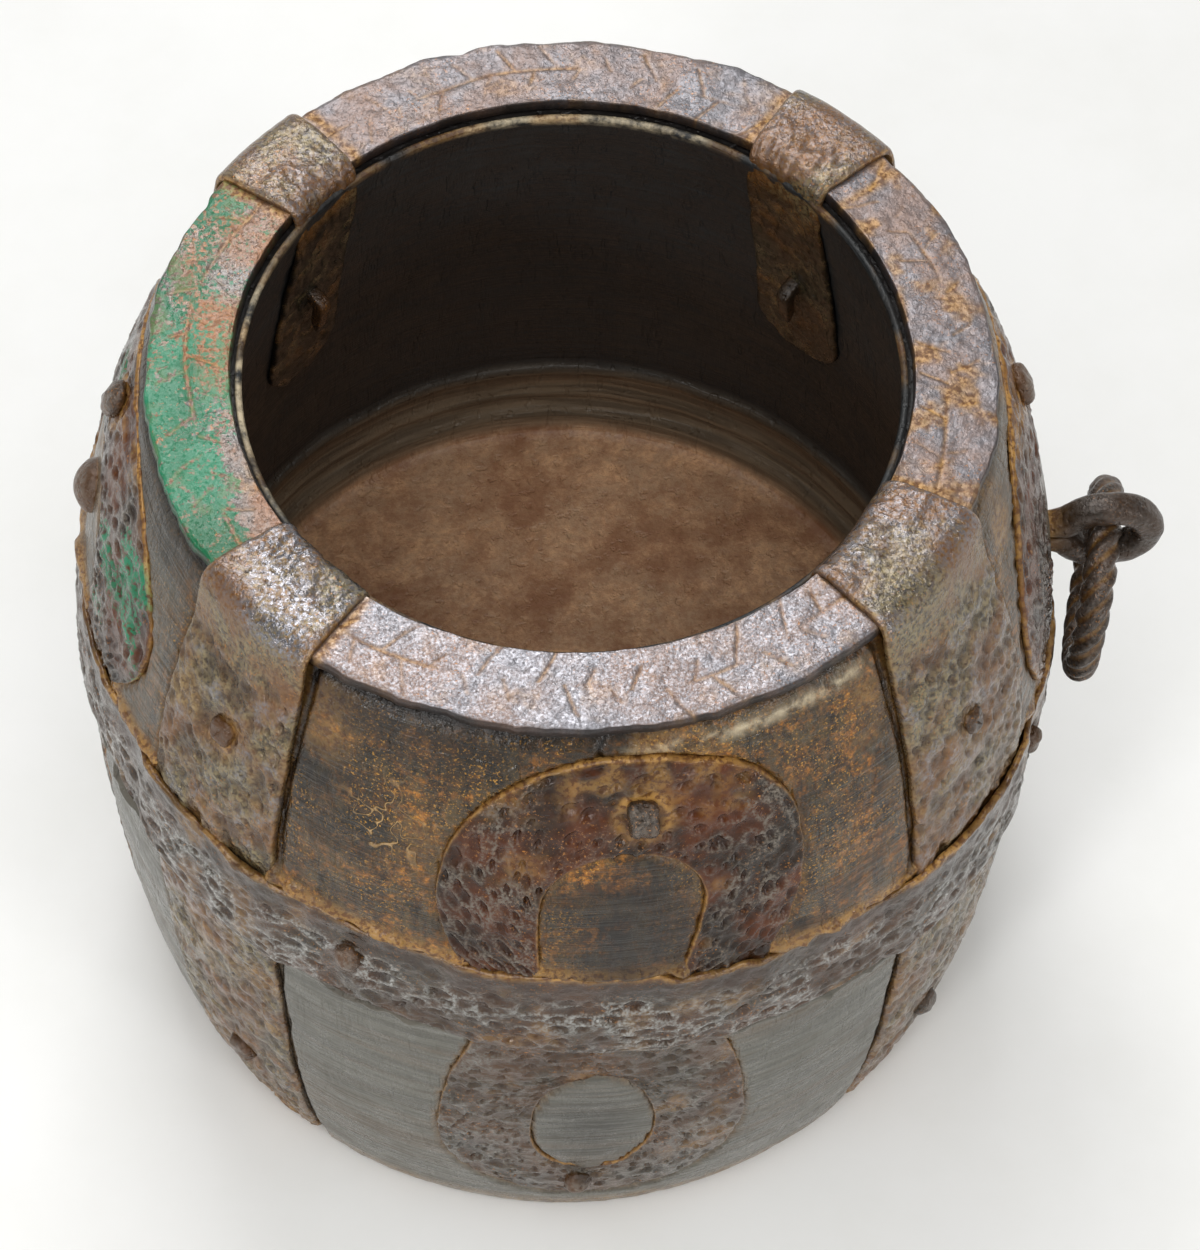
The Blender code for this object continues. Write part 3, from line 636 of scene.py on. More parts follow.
# %% Colours and masks of the wood
FIBRE, DARK_FIBRE = rgb(76, 63, 40), rgb(24, 18, 11)
BROWN_PATCH, OCHRE_SPOT = rgb(88, 52, 17), rgb(200, 128, 44)
SPECK, TRACK = rgb(206, 150, 60), rgb(196, 158, 104)
# The grey of the wood below the band and at both sides is partly painted sheen.
GREY_SHEEN, GREY_LINE, GREY_STAIN = rgb(104, 102, 93), rgb(84, 82, 74), rgb(92, 70, 46)
# The nearly black wall inside is partly painted shade, and the paler floor partly painted light.
SHADED_WALL, SHADED_WALL_PATCH = rgb(34, 36, 37), rgb(46, 46, 45)
LEDGE, LEDGE_LINE = rgb(134, 116, 94), rgb(100, 86, 69)
LIT_FLOOR, PALE_LIT_FLOOR = rgb(172, 138, 107), rgb(208, 162, 120)
STAIN, MOTTLE = rgb(140, 99, 70), rgb(132, 84, 56)
# The cream of chafed edges is partly painted highlight, and the crevice colour is painted shade.
CHAFED_HIGHLIGHT, CREVICE_SHADE = rgb(196, 180, 150), rgb(16, 11, 9)


def outside_colour(tree, where, tall, flat, patches, mottle, tracks):
    """Dark fibres with ochre patches, specks and tracks above, and greyer wood with turning lines
    below, which is partly painted sheen.
    """
    dark = between(tree, cloud(tree, tall, 700.0, 0.34, 0.66, 4.0, 0.6), FIBRE, DARK_FIBRE)
    spots = cloud(tree, where, 480.0, 0.42, 0.62, 6.0, 0.75, 0.4)
    earthy = times(tree, patches, sums(tree, "ADD", 0.12, mottle), True)
    upper = between(tree, earthy, dark, between(tree, spots, BROWN_PATCH, OCHRE_SPOT))
    broad = times(tree, cloud(tree, where, 60.0, 0.44, 0.60, 7.0, 0.72), 0.75)
    upper = between(tree, broad, upper, DARK_FIBRE)
    small = cloud(tree, where, 2600.0, 0.55, 0.68, 3.0, 0.65)
    specks = times(tree, small, cloud(tree, where, 90.0, 0.36, 0.60, 3.0))
    upper = between(tree, times(tree, specks, 0.8), upper, SPECK)
    upper = between(tree, tracks, upper, TRACK)
    grey_sheen = between(tree, turning_lines(tree, flat), GREY_SHEEN, GREY_LINE)
    stains = times(tree, cloud(tree, flat, 180.0, 0.44, 0.66, 5.0, 0.7), 0.5)
    grey_sheen = between(tree, stains, grey_sheen, GREY_STAIN)
    return between(tree, mark(tree, "lower"), upper, grey_sheen)


def inside_colour(tree, where, flat, patches, mottle):
    """A wall painted nearly black, partly as painted shade, a ledge with turning lines, and a floor
    painted pale, partly as painted light.
    """
    wall = between(tree, patches, SHADED_WALL, SHADED_WALL_PATCH)
    ledge = between(tree, turning_lines(tree, flat), LEDGE, LEDGE_LINE)
    floor = between(tree, patches, LIT_FLOOR, PALE_LIT_FLOOR)
    floor = between(tree, cloud(tree, where, 70.0, 0.40, 0.66, 6.0, 0.7), floor, STAIN)
    floor = between(tree, times(tree, mottle, 0.4), floor, MOTTLE)
    depth = mark(tree, "floor")
    inside = between(tree, times(tree, depth, 2.2, True), wall, ledge)
    return between(tree, ranged(tree, depth, 0.45, 1.0), inside, floor)


def turning_lines(tree, flat):
    """Noise that is stretched level, which draws fine lines round the wood."""
    return cloud(tree, flat, 900.0, 0.36, 0.64, 3.0, 0.6)


def worm_tracks(tree, where):
    """Thin squiggles where a distorted noise is close to its middle value, at the tracks' mark."""
    off = sums(tree, "SUBTRACT", cloud(tree, where, 240.0, 0.2, 0.8, 1.0, 0.4, 0.8), 0.5)
    squiggle = ranged(tree, sums(tree, "ABSOLUTE", off, 0.0), 0.02, 0.07, 1.0, 0.0)
    return times(tree, squiggle, mark(tree, "tracks"), True)


print("grey of the lower wood in linear light:", np.round(GREY_SHEEN[:3], 3))

# %% Wood finish
WOOD_GLOSS, WOOD_ROUGH, WOOD_RELIEF = 0.42, (0.22, 0.42), 0.00026


def wood_finish():
    """Noise stretched tall for the fibres and level for the turning lines, and colours chosen by
    the marks: then chafing with painted highlight, ochre earth and painted shade in crevices."""
    made, tree, shader, where = new_finish("old_wood")
    shader.inputs["Specular IOR Level"].default_value = WOOD_GLOSS
    stretches = ((1.0, 1.0, 0.14), (0.05, 0.05, 1.0))
    tall, flat = (
        add_node(tree, "ShaderNodeMapping", {"Vector": where, "Scale": scale}).outputs[0]
        for scale in stretches
    )
    patches = cloud(tree, where, 130.0, 0.40, 0.66, 9.0, 0.8, 0.4)
    mottle = cloud(tree, where, 820.0, 0.44, 0.57, 8.0, 0.8, 0.3)
    tracks, within = worm_tracks(tree, where), mark(tree, "inside")
    outside = outside_colour(tree, where, tall, flat, patches, mottle, tracks)
    colour = between(tree, within, outside, inside_colour(tree, where, flat, patches, mottle))
    rub, earth = mark(tree, "rub"), mark(tree, "dirt")
    # The cream along chafed edges is partly painted highlight.
    worn = use_group(tree, RUBBED_AND_HIGHLIGHT, Where=where, Under=colour, Bare=CHAFED_HIGHLIGHT, Amount=rub, Grain=320.0)
    dirty = use_group(tree, DIRT, Where=where, Under=worn["Colour"], Amount=earth, Crumbs=0.65)
    colour = between(tree, mark(tree, "crevice"), dirty["Colour"], CREVICE_SHADE)
    tree.links.new(colour, shader.inputs["Base Color"])
    rough = ranged(tree, patches, 0.0, 1.0, *WOOD_ROUGH)
    rough = sums(tree, "ADD", rough, times(tree, within, 0.2), True)
    tree.links.new(rough, shader.inputs["Roughness"])
    pits = use_group(tree, GRAIN, Where=tall, Size=800.0, Pits=0.6)
    relief = sums(tree, "ADD", pits["Height"], times(tree, turning_lines(tree, flat), 0.35))
    relief = sums(tree, "ADD", relief, times(tree, tracks, 2.0))
    raise_bump(tree, shader, relief, WOOD_RELIEF)
    return made


OLD_WOOD = wood_finish()
print("wood:", OLD_WOOD.name)

# %% [markdown]
# ## Where the iron lies
# The wood is proud of the iron's bed in the open bays, and there is a crevice with painted shade
# and ochre earth along every plate. To know where, the wood needs the outlines of the straps, the
# band and the horseshoe plates. They are worked out once here, and the plates below use the same
# lines.

# %% Sizes of straps and horseshoe plates
# A strap's width is in degrees, and other widths and heights are in millimetres. A strap's nail
# lies at a share of the way from band to rim, the top of a hollow at a share from band to plate
# top, and an upper plate's nail at a share from there to the plate's top.
Strap = namedtuple("Strap", "azimuth width nail_share foot_nail")
Upper = namedtuple("Upper", "azimuth half drop hollow arch_share nail_azimuth nail_share")
Lower = namedtuple("Lower", "azimuth nail_azimuth nail_height")
STRAPS = {
    "front_left": Strap(-47.2, 19.5, 0.50, 24.5),
    "front_right": Strap(52.0, 22.5, 0.45, 23.2),
    "back_right": Strap(136.0, 17.0, 0.47, 24.0),
    "back_left": Strap(-132.5, 15.5, 0.45, 24.0),
}
UPPER = {
    "front": Upper(3.9, 26.5, 3.5, 12.0, 0.62, 6.2, 0.40),
    "right": Upper(93.0, 33.0, 3.5, 13.5, 0.65, 93.0, 0.55),
    "back": Upper(182.2, 28.0, 3.5, 12.5, 0.62, 182.2, 0.50),
    "left": Upper(-90.7, 35.0, 3.0, 14.0, 0.56, -93.2, 0.53),
}
LOWER = {
    "front": Lower(1.2, -0.2, 19.0),
    "right": Lower(93.0, 93.0, 18.5),
    "back": Lower(182.2, 182.2, 18.5),
    "left": Lower(-90.7, -90.7, 18.5),
}
LOWER_HALF, LOWER_NECK, LOWER_BOTTOM = 24.5, 16.0, 9.5
LOWER_HOLLOW, LOWER_HOLLOW_BOTTOM, HOLLOW_CLOSES = 9.6, 25.0, 21.0
WAIST_SHARE, UNDER_BAND = 0.36, 2.5
BAND_NAILS = {"front": -27.2, "right": 68.0, "back": 155.0, "left": -119.5}


def even(line, count):
    """Points spaced evenly along a line of points."""
    run = run_along(line)
    at = np.linspace(0, run[-1], count)
    return np.stack([np.interp(at, run, column) for column in line.T], -1)


def upper_heights(bay):
    """Heights of an upper plate: the band's edge, the top of its hollow, and its own top."""
    edge, top = band_top(UPPER[bay].azimuth), WOOD_TOP - UPPER[bay].drop
    return edge, edge + UPPER[bay].arch_share * (top - edge), top


def upper_lines(bay, count):
    """Outline and hollow of an upper plate, as (distance along the barrel, height): an ellipse
    drawn in at the band, and an arch. The front one bulges at its upper right, and its right
    leg is wider."""
    half, hollow = UPPER[bay].half, UPPER[bay].hollow
    edge, arch, top = upper_heights(bay)
    foot = float(band_middle(UPPER[bay].azimuth)) + UNDER_BAND
    waist = edge + WAIST_SHARE * (top - edge)
    limit = np.arccos((edge - waist) / (top - waist))
    turn = np.linspace(-limit, limit, 81)
    outline = np.stack([half * np.sin(turn), waist + (top - waist) * np.cos(turn)], -1)
    outline = np.concatenate([[(outline[0, 0], foot)], outline, [(outline[-1, 0], foot)]])
    bend = np.radians(np.linspace(-90, 90, 41))
    inside = np.stack([hollow * np.sin(bend), arch - hollow + hollow * np.cos(bend)], -1)
    inside = np.concatenate([[(-hollow, foot)], inside, [(hollow, foot)]])
    if bay == "front":
        x, z = outline.T
        outline[:, 0] += 2.6 * smooth(z, waist, top - 3) * smooth(x, 0, 18)
        inside = even(inside, 81)
        x, z = inside.T
        inside[:, 0] -= 4.0 * smooth(-z, -(arch - 5), -foot) * (x > 0)
    return even(outline, count), even(inside, count)


def lower_lines(bay, count, overlap=0.0):
    """Outline and hollow of a lower plate: half ellipses below, and legs drawn in towards the
    band. The hollow closes, and there the two legs can overlap."""
    foot = float(band_middle(LOWER[bay].azimuth)) - UNDER_BAND
    turn, rise = np.radians(np.linspace(-90, 90, 41)), np.linspace(1, 0, 61)[:-1]
    middle = LOWER_BOTTOM + 1.12 * LOWER_HALF
    spring = LOWER_HOLLOW_BOTTOM + 1.8 * LOWER_HOLLOW
    up, draw = (foot - spring) * rise, np.arccos(LOWER_NECK / LOWER_HALF) * rise
    half = LOWER_HOLLOW * np.sqrt(held(1 - (up / HOLLOW_CLOSES) ** 2))
    half = half - overlap * smooth(up, HOLLOW_CLOSES - 0.6, HOLLOW_CLOSES)
    leg_out = np.stack([-LOWER_HALF * np.cos(draw), middle + (foot - middle) * rise], -1)
    leg_in = np.stack([-half, spring + up], -1)

    def closed(leg, wide, high, low):
        bowl = np.stack([wide * np.sin(turn), high - (high - low) * np.cos(turn)], -1)
        return even(np.concatenate([leg, bowl, leg[::-1] * (-1.0, 1.0)]), count)

    outline = closed(leg_out, LOWER_HALF, middle, LOWER_BOTTOM)
    return outline, closed(leg_in, LOWER_HOLLOW, spring, LOWER_HOLLOW_BOTTOM)


print("front upper plate, heights:", [round(height, 1) for height in upper_heights("front")])

# %% Nail heights, and distances to the iron
FAR, NEAR_PLATE = 99.0, 45


def upper_nail_height(bay):
    """Height of the nail in an upper plate, between the top of its hollow and its own top."""
    _, arch, top = upper_heights(bay)
    return arch + UPPER[bay].nail_share * (top - arch)


def strap_nail_height(side):
    """Height of the nail through a strap, between the band and the rim."""
    edge = band_top(STRAPS[side].azimuth)
    return edge + STRAPS[side].nail_share * (WOOD_TOP - edge)


def from_line(x, z, line):
    """Distance from points to a closed line, negative inside it: nearest of its pieces, and a
    count of crossings."""
    near, odd = np.full(np.shape(x), 1e9), np.zeros(np.shape(x), bool)
    for (ax, az), (bx, bz) in zip(line, np.roll(line, -1, 0)):
        dx, dz = bx - ax, bz - az
        t = held(((x - ax) * dx + (z - az) * dz) / max(dx * dx + dz * dz, 1e-9))
        near = np.minimum(near, np.hypot(x - ax - t * dx, z - az - t * dz))
        if dz:
            odd ^= ((az > z) != (bz > z)) & (x < dx * (z - az) / dz + ax)
    return np.where(odd, -near, near)


def apart(azimuth, other):
    """Degrees from one azimuth to another, the short way round."""
    return (azimuth - other + 180) % 360 - 180


def iron_distance(azimuth, z):
    """Millimetres from a point of the barrel to the nearest strap, to the band and to the nearest
    horseshoe plate, negative under it."""
    along = np.radians(1.0) * outer_radius(z)
    beside = [abs(apart(azimuth, s.azimuth)) * along - s.width / 2 * along for s in STRAPS.values()]
    band = abs(z - band_middle(azimuth)) - BAND_WIDTH / 2
    shoe = np.full(np.shape(along), FAR)
    for sizes, lines in ((UPPER, upper_lines), (LOWER, lower_lines)):
        for bay in sizes:
            outline, inside = lines(bay, 45)
            x = apart(azimuth, sizes[bay].azimuth) * along
            close = abs(x) < NEAR_PLATE
            d = from_line(x[close], (z + 0 * x)[close], np.concatenate([outline, inside[::-1]]))
            shoe[close] = np.minimum(shoe[close], d)
    return np.min(beside, 0), band, shoe


print("front upper nail at", round(upper_nail_height("front"), 1), "mm")
print("front left strap nail at", round(strap_nail_height("front_left"), 1), "mm")

# %% [markdown]
# ## The turned wooden body
# A lathe makes this shape, and so does the grid: rings from the middle of the base, up the
# outside, over the rim, down the hollow and across the floor. The rows of the outside follow the
# band, which sits askew, so that fine rows lie along both of its edges. Columns are close together
# along the straps. The open bays stand a little proud, with a crevice beside each plate that is
# painted dark as shade.

# %% Columns and rows of the wood
FOOT_EDGE = 1.2
BAND_ROWS = np.array([0.02, 0.06, 0.3, 0.7, 0.94, 0.98])[:, None]


def wood_columns(count=430):
    """Azimuths that are evenly spread, with more where a strap's edge or the crack is: the running
    sum of a density, read backwards."""
    fine = np.linspace(-180, 180, 7201)
    density = np.full(fine.shape, 1.0)
    for azimuth, width, _, _ in STRAPS.values():
        for edge in (azimuth - width / 2, azimuth + width / 2):
            density += 2.2 * bump(apart(fine, edge), 1.8)
    density += 1.5 * bump(apart(fine, 1.5), 1.0) + 0.5 * bump(apart(fine, 0), 30)
    run = np.cumsum(density)
    return np.interp(np.linspace(run[0], run[-1], count + 1)[:-1], run, fine)


def wood_rows(azimuth):
    """Heights of the outside's rows at each azimuth: foot to band, across it, and band to rim."""
    low, high = (band_middle(azimuth) + way * BAND_WIDTH / 2 for way in (-1, 1))
    part = np.linspace(0, 1, 42)[:, None]
    foot = FOOT_EDGE + (low - FOOT_EDGE) * (1 - (1 - part) ** 1.12)
    across = low + (high - low) * BAND_ROWS
    part = np.linspace(0, 1, 66)[:, None] ** 1.15
    return np.concatenate([foot, across, high + (WOOD_TOP - high) * part])


COLUMNS = wood_columns()
OUTSIDE_ROWS = wood_rows(COLUMNS[None, :])
print("columns:", len(COLUMNS), "rows outside:", len(OUTSIDE_ROWS))

# %% Outside of the wood
CRACKED = (("front_left", 1), ("front_right", -1), ("back_left", -1))  # strap, and its sprung side
CRACK_AT, SPLIT_AT, TRACKS_AT = 1.6, (24.5, 95.5), (-23.5, 120.5)


def wood_outside():
    """The outside's points and marks: the barrel, proud bays, crevices, a fillet of earth on the
    band, splits, a crack and fine turning lines, with painted shade in the crevices, splits and
    crack."""
    azimuth, z = np.broadcast_arrays(COLUMNS[None, :], OUTSIDE_ROWS)
    spot = place(azimuth, outer_radius(z), z)
    strap, band, shoe = iron_distance(azimuth, z)
    by_strap, by_band, by_shoe = (np.clip(d, 0, None) for d in (strap, band, shoe))
    over_band = z - band_middle(azimuth)
    above = smooth(over_band, 0.0, 1.0)
    sprung = 0.0
    for side, way in CRACKED:
        line = STRAPS[side].azimuth + way * STRAPS[side].width / 2
        sprung = np.maximum(sprung, bump(apart(azimuth, line), 3.0))
    ragged = 0.5 * lumps(spot, 5.0, 11, 2)
    open_bay = np.minimum(strap, shoe) + ragged * sprung
    proud = smooth(open_bay, -0.2 + 0.7 * sprung, 0.5 + 1.3 * sprung)
    lift = proud * (0.9 + 0.35 * smooth(-z, -74, -68) + 0.2 * lumps(spot, 16.0, 12, 2))
    lift = lift + 0.12 * lumps(spot, 2.2, 13, 2) * proud - 0.5 * bump(strap - 0.6, 0.7) * sprung
    heap = 1.35 + 0.75 * lumps(spot, 2.6, 14, 3) + 0.35 * bump(apart(azimuth, -80), 40)
    fillet = np.where(band > -0.8, heap * bump(by_band, 1.0 + 0.8 * above), 0)
    lift = np.maximum(lift, fillet)
    buried = np.minimum(np.minimum(strap, shoe), band) < -0.9
    lift = np.where(buried, np.minimum(lift, 0.0), lift)
    split = bump(shoe - 0.9, 0.9) * plateau(azimuth, 58, 64, 78, 84) * smooth(z, 92, 98)
    split = split * smooth(ragged, -0.3, 0.2)
    split = split + bump(np.hypot((azimuth - SPLIT_AT[0]) * 1.2, z - SPLIT_AT[1]), 1.6)
    crack = bump(apart(azimuth, CRACK_AT + 0.5 * np.sin(z)) * 1.1, 0.35) * smooth(z, 126, 131)
    lift = lift - 0.7 * crack - 0.8 * split - 0.9 * smooth(z, 137.9, 139.5) * (strap > 0)
    turned = np.sin(z * 2 * np.pi / 2.6 + 2 * lumps(spot, 30.0, 16))
    lift = lift + 0.05 * turned * smooth(-z, -80, -60) * proud
    marks = outside_marks(azimuth, z, over_band, ragged)
    patch = blotches(spot, 12.0, 17, 3, 0.0, 0.8) * smooth(z, 104, 128)
    dirt = 0.95 * above * bump(by_band, 1.7) + 0.45 * bump(by_shoe, 0.35)
    dirt = dirt + 0.3 * bump(by_strap, 0.5) + 0.6 * patch + 0.5 * smooth(-z, -8, -2)
    # Painted shade in the crevices beside the straps, in the crack and in the splits.
    gap_shade = 0.95 * bump(strap - 0.6, 0.8) * sprung * (0.75 + 0.5 * ragged) + crack + 0.9 * split
    marks.update(dirt=held(dirt), crevice=held(marks["crevice"] + gap_shade))
    return place(azimuth, outer_radius(z) + lift, z), marks


def outside_marks(azimuth, z, over_band, ragged):
    """Marks that only follow the place: painted shade in the hollows of the front plates, under the
    rim on the left and just under the rim plates; greyer wood below the band and at both sides,
    partly painted sheen; a cream line from chafing at the top on the right, partly painted
    highlight; and tracks."""
    aside, above = apart(azimuth, 0), smooth(over_band, 0.0, 1.0)
    dark = 0.74 * bump(apart(azimuth, UPPER["front"].azimuth), 8.0) * smooth(-z, -117, -112) * above
    dark = dark + 0.5 * bump(apart(azimuth, LOWER["front"].azimuth), 6.0) * bump(z - 43, 15.0)
    dark = dark + 0.6 * smooth(z + 2.5 * ragged, 130, 137) * smooth(-azimuth, 2, 12)
    grey_sheen = 1 - smooth(over_band, -4, 4) + 0.75 * plateau(aside, 60, 75, 115, 125)
    chafed_highlight = bump(z - 136.9, 0.8) * plateau(aside, 2, 9, 36, 41)
    return {
        "crevice": dark + 0.75 * smooth(z, 138.2, 139.4),
        "lower": held(grey_sheen + 0.6 * plateau(-aside, 55, 62, 115, 125)),
        "rub": held(chafed_highlight + 0.2 * bump(z - 3, 2)),
        "tracks": bump(apart(azimuth, TRACKS_AT[0]), 4.6) * bump(z - TRACKS_AT[1], 6.0),
    }


outside = wood_outside()
print("outside:", outside[0].shape[:2], "points, marks:", sorted(outside[1]))

# %% Inside of the wood
RIM_LINE = (  # radius, and height over the wood's top
    (RIM - 1.0, 0.15), (RIM - 5, 0.15), (MOUTH + 4, 0.1), (MOUTH + 1.7, -0.2),
    (MOUTH + 1.1, -0.3), (MOUTH + 0.9, 0.0), (MOUTH + 0.35, -0.05), (MOUTH + 0.05, -0.5),
)
LEDGES = (  # height over the floor where the wall is measured, then offsets from it and heights
    (17.0, ((-0.5, 58.6), (-1.2, 57.6), (-0.4, 56.2), (-0.2, 54.0))),
    (9.0, ((-0.4, 52.2), (-1.3, 51.2), (-1.0, 50.0), (-0.6, 48.6), (-1.4, 47.0), (-2.4, 46.2),
           (-2.2, 45.2), (-2.4, 43.8), (-3.0, 42.6))),
)
FLOOR_TOP, FLOOR_DIP, FLOOR_RINGS = 42.15, 0.35, 3.1


def inside_line():
    """Radius and height from the rim down the wall, over two turned ledges and across the floor,
    which dips by a square of the radius and has faint rings."""
    wall = np.linspace(WOOD_TOP - 0.6, FLOOR_HEIGHT + LEDGES[0][0], 58)
    line = [np.array(RIM_LINE) + (0, WOOD_TOP), np.stack([inner_radius(wall), wall], -1)[1:]]
    for up, steps in LEDGES:
        radius = float(inner_radius(FLOOR_HEIGHT + up))
        line.append(np.array(steps) + (radius, 0))
    floor = np.linspace(radius - 3.6, 1.2, 34)
    z = FLOOR_TOP - FLOOR_DIP * (1 - (floor / radius) ** 2)
    z = z + 0.06 * np.sin(floor * 2 * np.pi / FLOOR_RINGS)
    return np.concatenate([*line, np.stack([floor, z], -1)])


def wood_inside():
    """The inside's points and marks: the line spun round, with lumps and faint tool marks."""
    line = inside_line()
    azimuth, radius, z = np.broadcast_arrays(COLUMNS[None, :], line[:, :1], line[:, 1:])
    spot = place(azimuth, radius, z)
    tooled = 0.25 * lumps(spot, 9.0, 21, 3) + 0.06 * np.sin(z * 2 * np.pi / 2.2)
    radius = radius + plateau(z, 43, 47, 137.0, 139.0) * tooled
    z = z + (1 - smooth(z, 42.5, 44)) * 0.22 * lumps(spot, 11.0, 22, 3)
    mouth = smooth(z, 138.0, 138.8) * smooth(-radius, -48.75, -48.45)
    chafed_highlight = np.maximum(plateau(apart(azimuth, 150), 0, 8, 40, 52), bump(apart(azimuth, -88), 22))
    corners = 0.3 * bump(z - 46.8, 0.9) + 0.3 * bump(z - 52.0, 0.8)
    under_plate_shade = smooth(z, 138.7, 139.2) * smooth(radius, 48.5, 48.8)
    # Painted shade in the corners of the ledges, under the rim plates and along the mouth, and a
    # cream line at the mouth that is partly painted highlight.
    marks = {
        "dirt": 0.5 * mouth * blotches(spot, 7.0, 25, 3, -0.4, 0.5),
        "crevice": held(corners + under_plate_shade + 0.6 * mouth * blotches(spot, 5.0, 26, 3, 0.0, 0.6)),
        "rub": held(2.0 * mouth * chafed_highlight * blotches(spot, 20.0, 24, 2, -0.9, 0.0)),
        "inside": np.where(z > 138.9, smooth(RIM - radius, 1.0, 3.0), 1.0),
        "floor": 0.45 * smooth(-line[:, 1:], -60, -56) + 0.55 * smooth(-line[:, 1:], -44.5, -42.5),
    }
    return place(azimuth, radius, z), marks


def wood_base():
    """The flat underside, from near its middle to its edge."""
    radius = np.array([0.8, 20, 45, 62, BASE - FOOT_EDGE])[:, None]
    return place(COLUMNS[None, :], radius, 0 * radius), {"dirt": 0.2, "lower": 1.0}


def stack_marks(*parts):
    """Rings of several parts, one after the other, with their marks, and 0 where one has none."""
    labels = sorted({label for _, marks in parts for label in marks})
    return np.concatenate([rings for rings, _ in parts]), {
        label: np.concatenate([marks.get(label, 0.0) + 0 * rings[..., 0] for rings, marks in parts])
        for label in labels
    }


wood_rings, wood_marks = stack_marks(wood_base(), outside, wood_inside())
wood_shape = spun(wood_rings, (0, 0, 0), (0, 0, FLOOR_TOP - FLOOR_DIP), wood_marks)
add_piece("wooden_body", wood_shape, OLD_WOOD)
print("wood:", wood_rings.shape, COUNT["wooden_body"], "triangles")

# %% [markdown]
# ## Rim plates
# Four flat arcs of iron cover the end grain of the rim. Their tops are rough from the hammer, and a
# smith cut a vein into each with a chisel: one wavy line along the arc with branches to both sides.
# The cuts hold ochre earth. The plate is a slab over azimuth and radius whose edge is rolled over
# by a quarter circle. The left one keeps most of a coat of green paint.

# %% Chiselled veins
VEIN_PITCH, CUT_WIDE = 7.2, 0.30


def rounded(distance, reach):
    """The rise of a rounded edge: a quarter circle from 0 at the border to 1 at the reach."""
    return np.sqrt(held(1 - (1 - held(distance / reach)) ** 2))


def spread(count, ends=0.35):
    """Places from -1 to 1, closer together at both ends."""
    part = np.linspace(-1, 1, count)
    return (1 - ends) * part + ends * np.sin(part * np.pi / 2)


def shut(top, under, edge, border, thin):
    """Upper side of a slab: at least thin over the under side, and at the border on its edge."""
    return np.where(edge <= 1e-9, border, np.maximum(top, under + thin))


def vein(run, across, seed):
    """Depth of the chiselled vein: a wavy middle line, and branches that lean away from it on both
    sides by turns."""
    run, across = np.broadcast_arrays(run, across)
    spot = np.stack([run, across, 0 * run], -1)
    off = across - (0.8 * np.sin(run / 7.0 + seed) + 0.5 * lumps(spot * (1, 0, 0), 9.0, seed))
    line = bump(off, CUT_WIDE) * blotches(spot, 9.0, seed + 1, 1, -0.45, 0.15)
    lean = run - 0.5 * abs(off) + 0.5 * lumps(spot, 4.0, seed + 2)
    number = np.floor(lean / VEIN_PITCH)
    cell = np.stack([number, np.sign(off), 0 * number], -1)
    start = number + 0.5 + 0.35 * (chance(cell, seed + 3) - 0.5) + 0.22 * np.sign(off)
    reach = 2.6 + 3.8 * chance(cell, seed + 4)
    branch = bump(lean - start * VEIN_PITCH, CUT_WIDE) * (1 - smooth(abs(off), reach - 0.8, reach))
    return np.maximum(line, branch * (0.35 + 0.65 * chance(cell, seed + 5)))


print("places across a plate:", np.round(spread(5, 0.5), 2))

# %% Rim plates
PLATE_IN, PLATE_OUT, PLATE_LOW, PLATE_TOP = 48.4, 62.0, WOOD_TOP + GAP, WOOD_TOP + GAP + 2.0
PLATE_BORDER = PLATE_LOW + 0.15
PLATE_LOOK = {  # how much painted highlight the top has, and how much earth lies in its vein and on it
    "front": (1.15, 0.55, 0.25), "right": (0.25, 0.55, 0.7),
    "back": (0.35, 0.55, 0.25), "left": (0.55, 0.4, 0.25),
}
BAYS = {
    "front": ("front_left", "front_right"), "right": ("front_right", "back_right"),
    "back": ("back_right", "back_left"), "left": ("back_left", "front_left"),
}


def rim_paint(azimuth, radius, flat):
    """How thick the paint is: worn off on the inner side near the front, thinner further back."""
    front = smooth(azimuth, -84, -70)
    ragged = radius + lumps(flat, 4.0, 77, 3)
    bald = smooth(azimuth, -68, -62) * smooth(-ragged, -55.5, -54.0)
    kept = 1 - front + front * smooth(ragged, 51.5, 53.0) * (1 - bald)
    faded = 0.68 - 0.22 * smooth(-azimuth, 84, 112) - 0.20 * smooth(-ragged, -57.5, -51.5)
    return kept * (faded + 0.10 * lumps(flat, 5.0, 78, 2))


